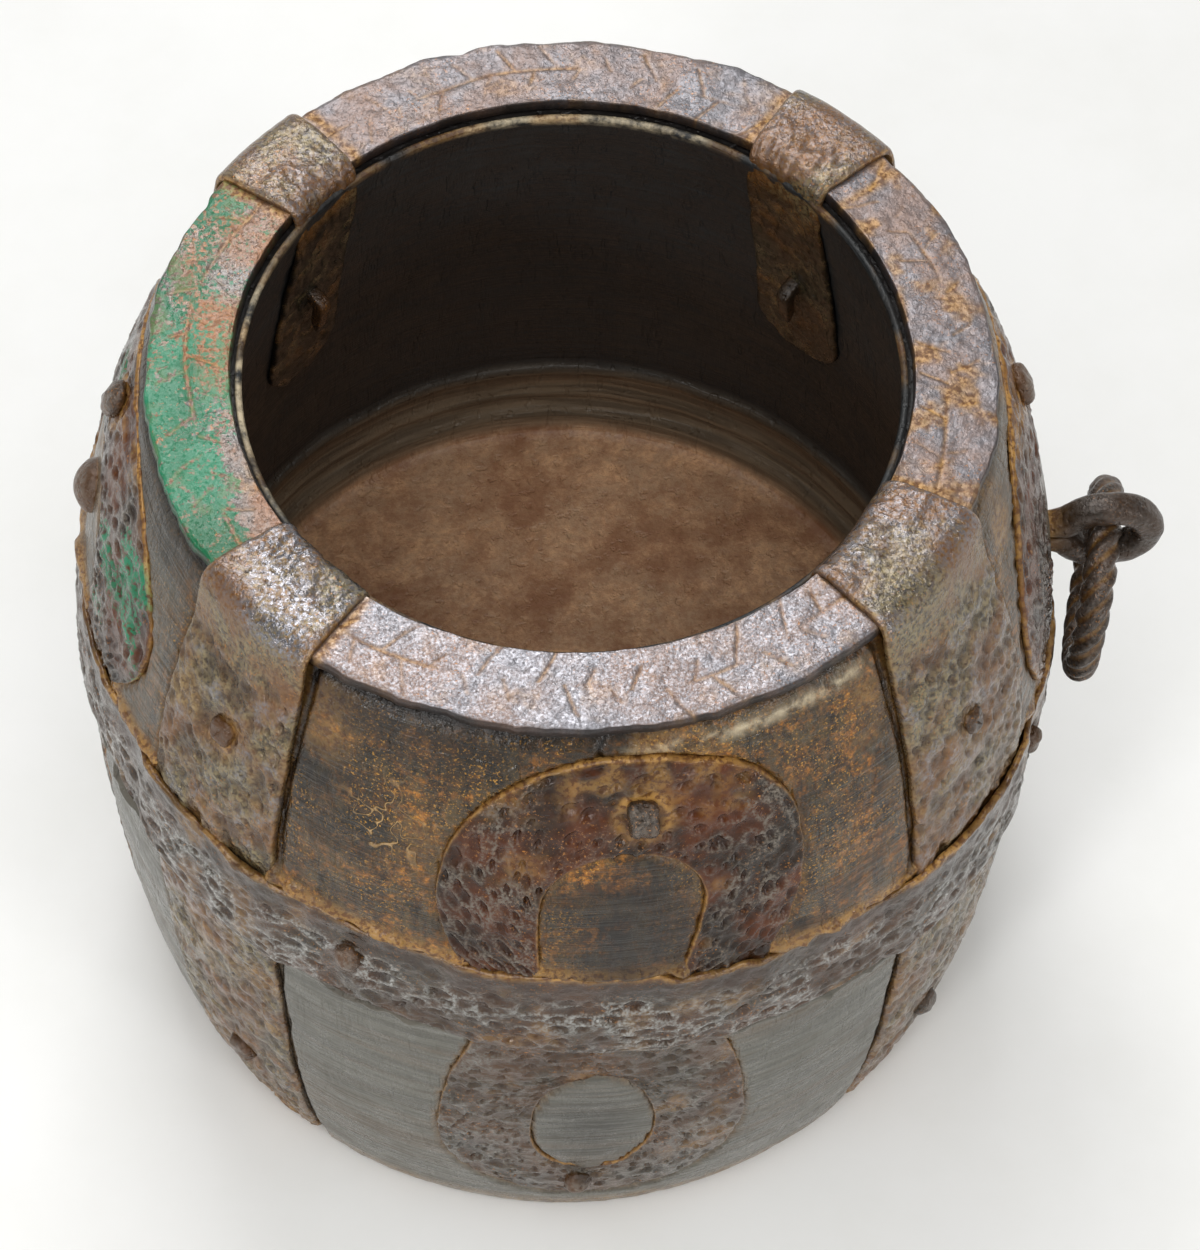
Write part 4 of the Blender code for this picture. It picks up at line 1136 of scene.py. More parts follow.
def rim_plate(bay, start, end, halves, seed):
    """A slab over azimuth and radius with a chipped outer edge, and with lumps, pits and the vein
    taken from its top. Under the straps it gives way to them."""
    azimuth = np.linspace(start + 0.4, end - 0.4, 360)[:, None]
    share = spread(61, 0.5)[None, :]
    middle, half = 0.5 * (PLATE_IN + PLATE_OUT), 0.5 * (PLATE_OUT - PLATE_IN)
    flat = place(azimuth, middle + share * half, 0 * share)
    under_straps = (start + halves[0] - azimuth, azimuth - end + halves[1])
    hidden = np.maximum(*(smooth(d, 0.3, 1.3) for d in under_straps))
    lobes = 0.45 * lumps(flat, 5.0, seed, 3) - 0.45
    radius = middle + share * half + smooth(share, 0.75, 1.0) * (lobes - 2.8 * hidden)
    radius = radius + smooth(-share, 0.75, 1.0) * (0.9 + 0.3 * lobes + 1.5 * hidden)
    to_side = (1 - abs(share)) * half
    to_end = np.minimum(azimuth - azimuth[0], azimuth[-1] - azimuth) * np.radians(1) * middle
    edge = np.minimum(to_side, to_end + 0 * share)
    cuts = vein(np.radians(azimuth - start) * middle, radius - middle, seed)
    grain, hammered = lumps(flat, 0.95, seed + 7, 2), lumps(flat, 3.6, seed + 6, 2)
    wane = 0.2 * (1 + lumps(flat, 9.0, seed + 8)) * smooth(share, 0.8, 1.0)
    taken = 0.05 * (1 + grain) + 0.10 * (1 + hammered) + 0.14 * cuts + wane + 0.7 * hidden
    roll = rounded(to_side, 0.35) * rounded(to_end, 0.5)
    under = PLATE_LOW + 0.15 * (1 - rounded(edge, 0.5))
    top = shut(PLATE_TOP - 1.5 * (1 - roll) - roll * taken, under, edge, PLATE_BORDER, 0.2)
    highlight_share, vein_earth, top_earth = PLATE_LOOK[bay]
    joint = bump(to_end - np.radians(halves[0]) * middle - 0.3, 0.9)
    earth = vein_earth * cuts + top_earth * blotches(flat, 4.0, seed + 9, 3, 0.0, 0.9)
    deep_shade = 0.45 + 0.4 * lumps(flat, 2.5, seed + 11, 3)
    # Painted light: the top gets a painted highlight, more on some plates than others, and the
    # outer side and edges are darkened as painted shade.
    marks = {
        "dirt": held(earth + 0.7 * joint),
        "rub": held(0.75 + 0.2 * grain) * smooth(to_side, 0.2, 0.6) * (1 - cuts) * highlight_share,
        "dent_rust_and_shade": held(1.5 * (1 - smooth(to_side, 0.15, 0.5)) + 0.15 * smooth(-grain, 0.3, 1.0)),
        "deep_shade": deep_shade * (1 - smooth(to_side, 0.12, 0.5)),
    }
    if bay == "left":
        paint = rim_paint(azimuth, radius, flat) * (1 - 0.5 * cuts) * smooth(-hidden, -0.9, 0.0)
        marks["paint"] = held(paint)
    return slab(place(azimuth, radius, top), place(azimuth, radius, under), marks)


for number, (bay, (first, last)) in enumerate(BAYS.items()):
    start, halves = STRAPS[first].azimuth, (STRAPS[first].width / 2, STRAPS[last].width / 2)
    end = start + (STRAPS[last].azimuth - start) % 360
    shape = rim_plate(bay, start, end, halves, 31 + 20 * number)
    iron, slot = ("painted_rim_iron", "painted_iron") if bay == "left" else ("rim_iron", "rim_iron")
    add_piece("rim_plate_" + bay, shape, IRONS[iron])
print("rim plates:", [COUNT["rim_plate_" + bay] for bay in BAYS], "triangles")

# %% [markdown]
# ## Straps
# Each strap is a strip of thin iron that climbs the barrel from its foot, folds over the rim plates
# and goes down inside as a tongue. A path of points and normals in the plane of the strap's azimuth
# carries the strip. Its own lumps and the puckers round its nails are added along the normal.

# %% Path of a strap
STRAP_FOOT, TONGUE_END, TONGUE_ROUND = 3.0, 88.0, 9.0


def rounded_path(corners, count, reach):
    """A path through corners whose bends are rounded: even points along it, averaged with their
    neighbours over the reach."""
    path = even(corners, count)
    wide = max(3, int(reach / (run_along(corners)[-1] / count)) | 1)
    kernel = np.hanning(wide + 2)[1:-1]
    kernel /= kernel.sum()
    first, last = (np.repeat(end, wide // 2, 0) for end in (path[:1], path[-1:]))
    padded = np.concatenate([first, path, last])
    eased = np.stack([np.convolve(column, kernel, "valid") for column in padded.T], -1)
    eased[0], eased[-1] = path[0], path[-1]
    return eased


def strap_path():
    """Base points, normals and run of the strip: up the barrel, over the rim plate's two corners
    and down the wall, with the corners rounded."""
    climb = np.linspace(STRAP_FOOT, WOOD_TOP - 8.0, 90)
    fall = np.linspace(WOOD_TOP - 6.0, TONGUE_END, 40)
    outside = np.stack([outer_radius(climb), climb], -1)
    inside = np.stack([inner_radius(fall), fall], -1)
    over = [(PLATE_OUT, PLATE_TOP), (PLATE_IN + 0.6, PLATE_TOP)]
    base = rounded_path(np.concatenate([outside, over, inside]), 400, 8.0)
    ahead = np.gradient(base, axis=0)
    way = np.stack([ahead[:, 1], -ahead[:, 0]], -1) / np.linalg.norm(ahead, axis=1, keepdims=True)
    return base, way, run_along(base)


print("a strap is", round(strap_path()[2][-1], 1), "mm long")

# %% Straps folded over the rim
STRAP_LOOK = {  # how much painted highlight it has on the rim, and how much painted shade inside
    "front_left": (1.9, 0.96), "front_right": (1.25, 0.96),
    "back_right": (0.8, 0.8), "back_left": (0.75, 0.96),
}


def bent_strap(side, seed):
    """A slab along the path and across the strap's width, with soft hammer dents, puckers at its
    nails and a round end to its tongue."""
    azimuth, width, _, foot_nail = STRAPS[side]
    base, way, run = strap_path()
    radius, z, run = base[:, :1], base[:, 1:], run[:, None]
    inside = (np.arange(len(z)) > np.argmax(z))[:, None] & (radius < MOUTH + 8)
    inside = np.maximum.accumulate(inside)
    ending = np.where(inside, held(1 - (z - TONGUE_END) / TONGUE_ROUND), 0)
    half = width / 2 * np.sqrt(1 - 0.96 * ending**2)
    share = spread(61)[None, :]
    wide = np.radians(half) * radius
    spot = place(azimuth + half * share, radius, z)
    half = half + np.degrees(0.3 * lumps(spot, 6.0, seed, 2) / radius) * abs(share) ** 3
    across = azimuth + np.minimum(half, width / 2 + 0.25) * share
    level, to_side, to_end = share * wide, (1 - abs(share)) * wide, np.minimum(run, run[-1] - run)
    edge = np.minimum(to_side, to_end + 0 * share)
    face = smooth(-z, 3 - WOOD_TOP, 10 - WOOD_TOP) * ~inside
    hits = dents(run + 0.4 * level, level, 2.5, 2.3, 0.75, 1.5, seed + 1)
    crumpled = lumps(spot, 2.4, seed + 2, 3)
    puckers, halo = 0.0, 0.0
    for height in (strap_nail_height(side), foot_nail):
        away = np.hypot(level, z - height + 1e6 * inside)
        puckers = puckers + bump(away, 3.4) - 0.4 * bump(away - 6.0, 1.8)
        halo = np.maximum(halo, bump(away, 4.2))
    depth = 0.42 * hits + 0.42 * crumpled + 0.25 * lumps(spot, 7.0, seed + 8, 2)
    depth = depth * np.maximum(face, 0.6 * inside) + 0.05 * lumps(spot, 1.6, seed + 3, 2)
    depth = depth + 0.12 * lumps(spot, 12.0, seed + 6) + 0.65 * puckers + 0.3
    roll = rounded(to_side, 1.1) * rounded(to_end, 0.9)
    top = GAP + STRAP_THICK - 0.3 * (1 - face) - 0.9 * (1 - roll) - np.clip(depth, 0, 1.1) * roll
    under = 0.1 + 0.1 * (1 - rounded(edge, 0.7))
    top = shut(top, under, edge, 0.3, 0.12)
    top_highlight, shade_inside = STRAP_LOOK[side]
    joint = bump(to_side, 0.4) * (0.3 + 0.5 * smooth(z, 137.5, 141.0) * ~inside)
    earth = 0.35 * blotches(spot, 8.0, seed + 4, 3, 0.2, 0.9) + 0.5 * bump(z - STRAP_FOOT, 5)
    earth = earth + 0.6 * halo * blotches(spot, 3.0, seed + 7, 2, -0.5, 0.6)
    rub = top_highlight * smooth(z, 138.5, 141.5) * (0.55 + 0.45 * lumps(spot, 7.0, seed + 5, 2))
    # Painted light: highlights on the relief's ridges and on the top over the rim, painted shade in
    # its dents and valleys, and a tongue inside painted dark as shade.
    marks = {
        "dirt": held(joint + earth * face),
        "rub": rub + 0.7 * smooth(-crumpled, 0.1, 0.7) * face,
        "dent_rust_and_shade": held((0.9 * hits + smooth(crumpled, -0.1, 0.6)) * face + 0.5 * halo),
        "deep_shade": shade_inside * inside * smooth(-z, -137.5, -134) * smooth(-crumpled, -1.4, 0.4),
    }

    def laid(lift):
        out = base[:, None, :] + lift[..., None] * way[:, None, :]
        return place(across, out[..., 0], out[..., 1])

    return slab(laid(top), laid(under), marks)


for number, side in enumerate(STRAPS):
    shape = bent_strap(side, 131 + 11 * number)
    add_piece("strap_" + side, shape, IRONS["strap_iron"])
print("straps:", [COUNT["strap_" + side] for side in STRAPS], "triangles")

# %% [markdown]
# ## Horseshoe plates
# Four plates above the band and four below it, each punched all over with rows of dents that follow
# its shape. Such rows are easy when the plate's own grid follows it too: one way runs round the
# horseshoe and the other from its outline to its hollow. The grid is then bent to the barrel.

# %% Horseshoe plates with rows of dents
SHOE_POINTS, LEG_OVERLAP, NO_NAIL, LEFT_GREEN = 300, 0.7, (0.0, -99.0), 0.52


def creases(spot, size, seed):
    """Sharp ridges between soft hollows: 1 where lumps pass through 0, and less on both sides."""
    return 1 - 2.2 * abs(lumps(spot, size, seed, 3))


def rubbed_and_lit_spots(hits, creased):
    """Where hands wear the iron and highlights are painted: the brims of the dents, and the ridges
    between them.
    """
    ridges = smooth(creased, 0.5, 0.95) * smooth(-hits, -0.2, 0.05)
    return 1.2 * np.maximum(smooth(-hits, 0.0, 0.2), ridges)


def horseshoe(azimuth, outline, inside, seed, green=0.0, nail=NO_NAIL, stretch=1.3):
    """A slab between two lines of (distance along, height), bent to the barrel, with concentric
    rows of dents. Where its legs meet, the hollow's edge counts as far away."""
    share = (0.5 + 0.5 * spread(51))[None, :, None]
    flat = outline[:, None] * (1 - share) + inside[:, None] * share
    run = run_along(0.5 * (outline + inside))[:, None]
    wide = np.linalg.norm(outline - inside, axis=1)[:, None]
    x, z = flat[..., 0], flat[..., 1]
    spot = place(azimuth + np.degrees(x / outer_radius(z)), outer_radius(z), z)
    along = share[..., 0] * wide
    met = smooth(-abs(inside[:, :1]), -2.0, -0.8)
    to_in, to_end = wide - along + 9 * met, np.minimum(run, run[-1] - run)
    to_side = np.minimum(along, to_in)
    push = (bump(along, 2.0) - bump(to_in, 2.0)) * 0.35 * lumps(spot, 5.0, seed, 2)
    away = (outline - inside) / wide
    x, z = x + push * away[:, :1], z + push * away[:, 1:]
    edge = np.minimum(to_side, to_end + 0 * along)
    roll = rounded(to_side, 1.0) * rounded(to_end, 0.8)
    hits = dents(run + 0.3 * along, along, 3.4, 3.1, 0.85, stretch, seed + 1)
    hits = hits * smooth(to_side, 0.4, 1.2)
    creased = creases(spot, 4.2, seed + 2)
    nailed, over_nail = nail[1] > 0, z - nail[1]
    ridge = 0.35 * bump(x - nail[0], 2.6) * smooth(over_nail, 3, 6) * nailed
    depth = 0.40 + 0.75 * hits - 0.25 * creased + 0.2 * lumps(spot, 6.0, seed + 3, 2) - ridge
    top = GAP + PLATE_THICK - 0.6 * (1 - roll) - np.clip(depth, 0, 1.1) * roll
    under = 0.1 + 0.1 * (1 - rounded(edge, 0.6))
    top = shut(top - 0.35 * met * bump(wide - along, 0.4), under, edge, 0.3, 0.1)
    earth = 1.3 * bump(to_side, 0.30) + 0.3 * blotches(spot, 7.0, seed + 4, 3, 0.3, 0.9)
    earth = earth + 0.7 * bump(np.hypot(x - nail[0], over_nail) - 3.6, 0.8)
    top_earth = smooth(over_nail, -3, 5) * nailed * blotches(spot, 3.0, seed + 7, 3, -0.2, 0.7)
    handled_and_lit = (0.35 + 0.65 * smooth(abs(x), 8, 16)) * blotches(spot, 6.0, seed + 6, 2, -0.7, 0.3)
    painted = blotches(spot, 9.0, seed + 5, 2, 0.05, 0.5) * smooth(spot[..., 2], 100, 112)
    # Painted light: highlights on the brims and ridges, more on the sides, and painted shade in the
    # dents and between the creases.
    marks = {
        "dirt": held(earth + 0.45 * top_earth),
        "rub": rubbed_and_lit_spots(hits, creased) * handled_and_lit,
        "dent_rust_and_shade": held(hits + 0.6 * smooth(-creased, -0.1, 0.8)),
        "paint": green * painted,
    }

    def laid(lift):
        radius = outer_radius(z)
        return place(azimuth + np.degrees(x / radius), radius + lift, z)

    return slab(laid(top), laid(under), marks)


for number, (bay, size) in enumerate(UPPER.items()):
    height = upper_nail_height(bay)
    nail = (np.radians(size.nail_azimuth - size.azimuth) * float(outer_radius(height)), height)
    green = LEFT_GREEN if bay == "left" else 0.0
    lines = upper_lines(bay, SHOE_POINTS)
    shape = horseshoe(size.azimuth, *lines, 211 + 13 * number, green, nail)
    add_piece("upper_crescent_" + bay, shape, IRONS["plate_iron"])
for number, (bay, size) in enumerate(LOWER.items()):
    lines = lower_lines(bay, SHOE_POINTS, LEG_OVERLAP)
    shape = horseshoe(size.azimuth, *lines, 271 + 13 * number, stretch=0.65)
    add_piece("lower_crescent_" + bay, shape, IRONS["low_plate_iron"])
print("horseshoe plates:", COUNT["upper_crescent_front"], "triangles each")

# %% [markdown]
# ## The belly band
# A hoop of iron sits over the straps and the feet of the horseshoe plates. Between those it is
# hammered down towards the wood, and it has rows of dents. Its section is a thin strip with rounded
# edges, carried all the way round, and its upper lip wanders a little.

# %% Belly band
BAND_TOP_POINTS, BAND_UNDER = 62, (0.7, 0.25, -0.25, -0.7)
HOLE_AT = (-20.5, 73.0)


def belly_band(seed=331):
    """A hoop: a strip's section closed all round, carried round the barrel at the band's askew
    height."""
    azimuth = np.linspace(-180, 180, 1151)[:-1][:, None]
    sides = np.concatenate([spread(BAND_TOP_POINTS, 0.3), BAND_UNDER])[None, :]
    on_top = np.arange(sides.size)[None, :] < BAND_TOP_POINTS
    half, middle = BAND_WIDTH / 2, band_middle(azimuth)
    level, to_side = sides * half, (1 - abs(sides)) * half
    spot = place(azimuth, BELLY, middle + level)
    lip = lumps(place(azimuth, BELLY, 0 * azimuth + 40 * np.sign(sides)), 5.0, seed, 3)
    z = middle + level - np.sign(sides) * abs(sides) ** 4 * (0.6 - 0.7 * lip)
    strap, _, shoe = iron_distance(azimuth + 0 * z, z)
    on_strap, on_shoe = (1 - smooth(d, 0.0, 6.0) for d in (strap, shoe))
    sink = 1.7 - 1.2 * np.maximum(on_strap, 0.6 * on_shoe)
    worked = smooth(-level, -7.5, -3.0)
    run, row = np.radians(azimuth) * BELLY, level + 0.6 * lumps(spot, 8.0, seed + 1)
    hits = dents(run + 0 * level, row, 3.7, 3.2, 0.85, 1.5, seed + 2)
    hits = hits * smooth(to_side, 0.5, 1.4) * smooth(-level, -7.5, -4.0)
    creased = creases(spot * (1, 1, 1.6), 4.6, seed + 6)
    hole = bump(np.hypot((azimuth - HOLE_AT[0]) * 1.3, z - HOLE_AT[1]), 1.1)
    depth = 0.42 + 0.7 * hits - 0.28 * creased * worked + 0.25 * lumps(spot, 7.0, seed + 7, 2)
    depth = depth + 0.2 * lumps(spot, 2.0, seed + 11, 2) * (1 - worked) + 0.6 * hole
    rest = GAP + STRAP_THICK + GAP
    roll = rounded(to_side, np.where(sides > 0, 0.8, 2.4))
    top = rest + BAND_THICK - 0.9 * (1 - roll) - np.clip(depth, 0, 1.2) * roll
    under = rest - 0.1
    lift = np.where(on_top, np.maximum(top, under + 0.12), under)
    lift = np.where(to_side <= 1e-9, rest + 0.1, lift) - sink
    earth = bump(to_side, 0.9) * (sides > 0) * (0.75 + 0.4 * lip)
    rough = (1 - worked) * blotches(spot, 3.0, seed + 10, 3, -0.9, 0.2)
    # Painted light: highlights on the worked lower part and painted shade in its dents; the rough
    # upper part is darker, and the hole is painted dark as shade.
    marks = {
        "dirt": held(earth + 0.3 * blotches(spot, 7.0, seed + 8, 3, 0.3, 0.9)),
        "rub": rubbed_and_lit_spots(hits, creased) * worked * blotches(spot, 6.0, seed + 9, 2, -0.8, 0.2),
        "dent_rust_and_shade": held(hits + 0.6 * smooth(-creased, -0.1, 0.8) * worked + 0.9 * rough),
        "deep_shade": hole,
    }
    return hoop(place(azimuth, outer_radius(z) + lift, z), marks)


add_piece("belly_band", belly_band(), IRONS["band_iron"])
print("band:", COUNT["belly_band"], "triangles")

# %% [markdown]
# ## Nails
# Each nail was forged by hand, so each head is a different little block with hammered facets. A
# nail is a spun shape whose rings are squarish: from the top of the head, over its edge, back
# under it and down the shank to the point. The straps' nails go through the wall and are bent
# over inside.

# %% Nail heads and shanks
NAIL_SHANK, NAIL_DEPTH, HEAD_WIDE, HEAD_TALL, HEAD_THICK = 2.5, 8.0, 6.0, 7.4, 2.2
NAIL_AROUND = 28
HEAD_ROWS = (  # height as a share of the thickness, and reach as a share of half the width
    (1.00, 0.12), (0.99, 0.3), (0.96, 0.5), (0.9, 0.68), (0.78, 0.83),
    (0.58, 0.94), (0.35, 1.0), (0.15, 1.0), (0.02, 0.95), (0.0, 0.8),
)


def frame_at(azimuth, z):
    """A spot on the wood with its outward, sideways and upward directions."""
    out = facing(outer_radius, np.array([z]), 1)[0]
    a = np.radians(azimuth)
    way = np.array([out[0] * np.sin(a), -out[0] * np.cos(a), out[1]])
    side = np.array([np.cos(a), np.sin(a), 0.0])
    up = np.cross(way, side)
    return place(azimuth, outer_radius(z), z), way, side, up * np.sign(up[2])


def squarish(turn, power):
    """Reach of a rounded square at each angle: power 2 is a circle, larger powers are squarer."""
    return (abs(np.cos(turn)) ** power + abs(np.sin(turn)) ** power) ** (-1 / power)


def nail_head(seed, wide, tall, thick, power, fold=0.0):
    """Rings of a head, as (height, across, up): a hammered dome on a rounded square, uneven in
    outline and top."""
    turn = circle(NAIL_AROUND)[None, :]
    height, reach = (np.array(column)[:, None] for column in zip(*HEAD_ROWS))
    ring = np.stack([np.cos(turn), np.sin(turn), 0 * turn], -1)
    reach = reach / 2 * squarish(turn, power) * (1 + 0.16 * lumps(ring * 2 + seed, 1.3, seed, 2))
    across, up = reach * wide * np.cos(turn), reach * tall * np.sin(turn)
    spot = np.stack([across, up, 0 * across + seed], -1)
    facet = 1 + 0.28 * lumps(spot, 2.4, seed + 1, 2) * (height > 0.3)
    facet = facet - fold * bump(across, 0.24 * wide) * smooth(-up, -0.12 * tall, 0.1 * tall)
    return np.stack([height * thick * facet, across, up], -1)


def drive_nail(name, azimuth, z, lift, seed, size, power=3.0, narrow=1.0, fold=0.0):
    """A nail square to the barrel: its head sits on iron that stands lift off the wood, and its
    shank tapers to a point."""
    foot, way, side, up = frame_at(azimuth, z)
    turn = circle(NAIL_AROUND)[None, :]
    head = nail_head(seed, narrow * size * HEAD_WIDE, size * HEAD_TALL, HEAD_THICK, power, fold)
    head[..., 0] += lift + GAP * 0.5
    tip = -NAIL_DEPTH
    down = np.array([(lift, 1.0), (0.0, 1.0), (tip * 0.6, 0.9), (tip + 0.4, 0.3)])
    half = NAIL_SHANK / 2 * down[:, 1:] * squarish(turn, 4.0)
    shank = np.stack([down[:, :1] + 0 * turn, half * np.cos(turn), half * np.sin(turn)], -1)
    rows = np.concatenate([head, shank])
    rings = foot + rows[..., :1] * way + rows[..., 1:2] * side + rows[..., 2:] * up
    first = foot + (rows[0, :, 0].mean() + 0.05) * way
    seat = held(1 - rows[..., 0] / (lift + HEAD_THICK))
    # The top of the head is lighter, partly as a painted highlight.
    marks = {"dirt": 0.9 * smooth(seat, 0.5, 0.9), "rub": smooth(-seat, -0.35, 0.0)}
    shape = spun(rings, first, foot + tip * way, marks)
    add_piece(name, shape, IRONS["nail_iron"])


FOLDED, ROUNDISH = {"power": 6.0, "narrow": 0.8, "fold": 0.5}, {"power": 2.8}
on_plate, on_strap = GAP + PLATE_THICK, GAP + STRAP_THICK
for number, (bay, size) in enumerate(UPPER.items()):
    style, height = FOLDED if bay == "front" else ROUNDISH, upper_nail_height(bay)
    where = ("upper_nail_" + bay, size.nail_azimuth, height, on_plate - 0.6)
    drive_nail(*where, 401 + number, 0.85, **style)
for number, (bay, size) in enumerate(LOWER.items()):
    where = ("lower_nail_" + bay, size.nail_azimuth, size.nail_height, on_plate - 0.8)
    drive_nail(*where, 411 + number, 0.75)
for number, (bay, azimuth) in enumerate(BAND_NAILS.items()):
    height = float(band_middle(azimuth)) + 2.0
    drive_nail("band_nail_" + bay, azimuth, height, 0.7, 421 + number, 0.65)
for number, (side, size) in enumerate(STRAPS.items()):
    where = ("foot_nail_" + side, size.azimuth, size.foot_nail, on_strap - 1.2)
    drive_nail(*where, 431 + number, 0.8)
print("nails:", COUNT["upper_nail_front"], "triangles each")

# %% Through nails, bent over inside
THROUGH_ROWS, BENT_LENGTH = 60, 8.0
TAPER = ((0, 0.7, 0.9, 1.0), (1.0, 1.0, 0.85, 0.35))  # share of the way, and share of the shank


def carry(path, side, half_side, half_flat, power, around, seed, rough=0.06):
    """A squarish section carried along a path in one plane: side is square to the plane, and the
    other way is square to the path."""
    ahead = np.gradient(path, axis=0)
    ahead /= np.linalg.norm(ahead, axis=1, keepdims=True)
    flat = np.cross(ahead, side)
    turn = circle(around)[None, :]
    reach = squarish(turn, power)
    a, b = half_side[:, None] * reach * np.cos(turn), half_flat[:, None] * reach * np.sin(turn)
    rings = path[:, None] + a[..., None] * side + b[..., None] * flat[:, None]
    swell = 1 + rough * lumps(rings, 2.4, seed, 2)
    return path[:, None] + (rings - path[:, None]) * swell[..., None]


def through_nail(strap_side, seed):
    """A head outside, a shank through the wall, and a point hammered down over the tongue."""
    azimuth, z = STRAPS[strap_side].azimuth, strap_nail_height(strap_side)
    foot, way, side, up = frame_at(azimuth, z)
    out = facing(outer_radius, np.array([z]), 1)[0]
    skin = np.array([outer_radius(z), z])
    walk = skin - np.linspace(0, 40, 4001)[:, None] * out
    wall = walk[np.argmax(walk[:, 0] < inner_radius(walk[:, 1]))]
    face = facing(inner_radius, wall[1:], -1)[0]
    down = np.array([face[1], -face[0]])
    down = down * -np.sign(down[1])
    lie = (2 * GAP + STRAP_THICK + 0.55 * NAIL_SHANK) / float(-(out @ face))
    bend = wall - out * lie
    lift = GAP + STRAP_THICK - 1.2
    corners = np.array([skin + out * lift, wall, bend, bend + down * BENT_LENGTH])
    line = rounded_path(corners, THROUGH_ROWS, 2.6)
    path = place(azimuth, line[:, 0], line[:, 1])
    thin = NAIL_SHANK / 2 * np.interp(np.linspace(0, 1, THROUGH_ROWS), *TAPER)
    shank = carry(path, side, thin, thin, 4.0, NAIL_AROUND, seed)
    head = nail_head(seed, 0.7 * HEAD_WIDE, 0.62 * HEAD_TALL, 0.8 * HEAD_THICK, 2.4)
    cap = foot + (head[..., :1] + lift) * way + head[..., 1:2] * side + head[..., 2:] * up
    if np.dot(np.cross(path[1] - path[0], side), up) < 0:
        shank = shank[:, -np.arange(NAIL_AROUND)]
    seat = np.concatenate([held(1 - head[..., 0] / HEAD_THICK), np.full(shank.shape[:2], 0.3)])
    # The top of the head is lighter, partly as a painted highlight.
    marks = {"dirt": 0.8 * smooth(seat, 0.6, 1.0), "rub": smooth(-seat, -0.35, 0.0)}
    first = foot + (lift + HEAD_THICK * 1.02) * way
    return spun(np.concatenate([cap, shank]), first, path[-1], marks)


for number, side in enumerate(STRAPS):
    shape = through_nail(side, 441 + number)
    add_piece("strap_nail_" + side, shape, IRONS["nail_iron"])
print("through nails:", COUNT["strap_nail_front_left"], "triangles each")

# %% [markdown]
# ## The stud, the eye and the twisted ring
# In the left bay a domed stud is left in the wood. In the right bay a bar was bent into an eye and
# its two ends driven through the wall. A ring of square bar hangs in it. The smith twisted the bar
# while it was hot, so its section turns as it goes round: the twist is only an angle that grows
# with the way along the ring.

# %% Stud
STUD_SIDE, STUD_RISE, STUD_REACH, STUD_DEPTH = -90.0, 3.6, 4.2, 8.0
STUD_SHANK = ((0.2, 3.6), (0.1, 2.0), (-4.0, 2.0), (-7.6, 1.5))  # height over the wood, and radius


def left_stud(seed=461):
    """A quarter circle spun to a dome, on a round shank, in the hollow of the left plate."""
    low, arch = band_top(STUD_SIDE), upper_heights("left")[1]
    foot, way, side, up = frame_at(STUD_SIDE, low + 0.58 * (arch - low))
    turn = circle(32)[None, :]
    rise = np.radians(np.linspace(82, 0, 12))
    dome = np.stack([GAP + STUD_RISE * np.sin(rise), STUD_REACH * np.cos(rise)], -1)
    rows = np.concatenate([dome, STUD_SHANK])
    height, reach = rows[:, :1], rows[:, 1:]
    spot = np.stack(np.broadcast_arrays(np.cos(turn), np.sin(turn), 0.4 * height), -1)
    reach = (reach * (1 + 0.09 * lumps(spot, 0.8, seed, 2)))[..., None]
    around = np.cos(turn)[..., None] * side + np.sin(turn)[..., None] * up
    rings = foot + height[..., None] * way + reach * around
    # The top of the dome is lighter, partly as a painted highlight.
    marks = {"dirt": 0.7 * smooth(-height, -1.2, 0), "rub": smooth(height, 1.5, 3.5)}
    return spun(rings, foot + (GAP + STUD_RISE) * way, foot - STUD_DEPTH * way, marks)


add_piece("left_stud", left_stud(), IRONS["nail_iron"])
print("stud:", COUNT["left_stud"], "triangles")

# %% Eye
EYE_BAR, EYE_REACH, EYE_HOLE = 4.8, 10.1, (8.6, 6.4)
EYE_HEIGHT = band_top(90.0) + 6.7
EYE_SKIN = float(outer_radius(EYE_HEIGHT))
LEG_HALF, LEG_APART, LEG_SPLAY = 1.3, 1.7, (10.7, 3.9, 2.0)


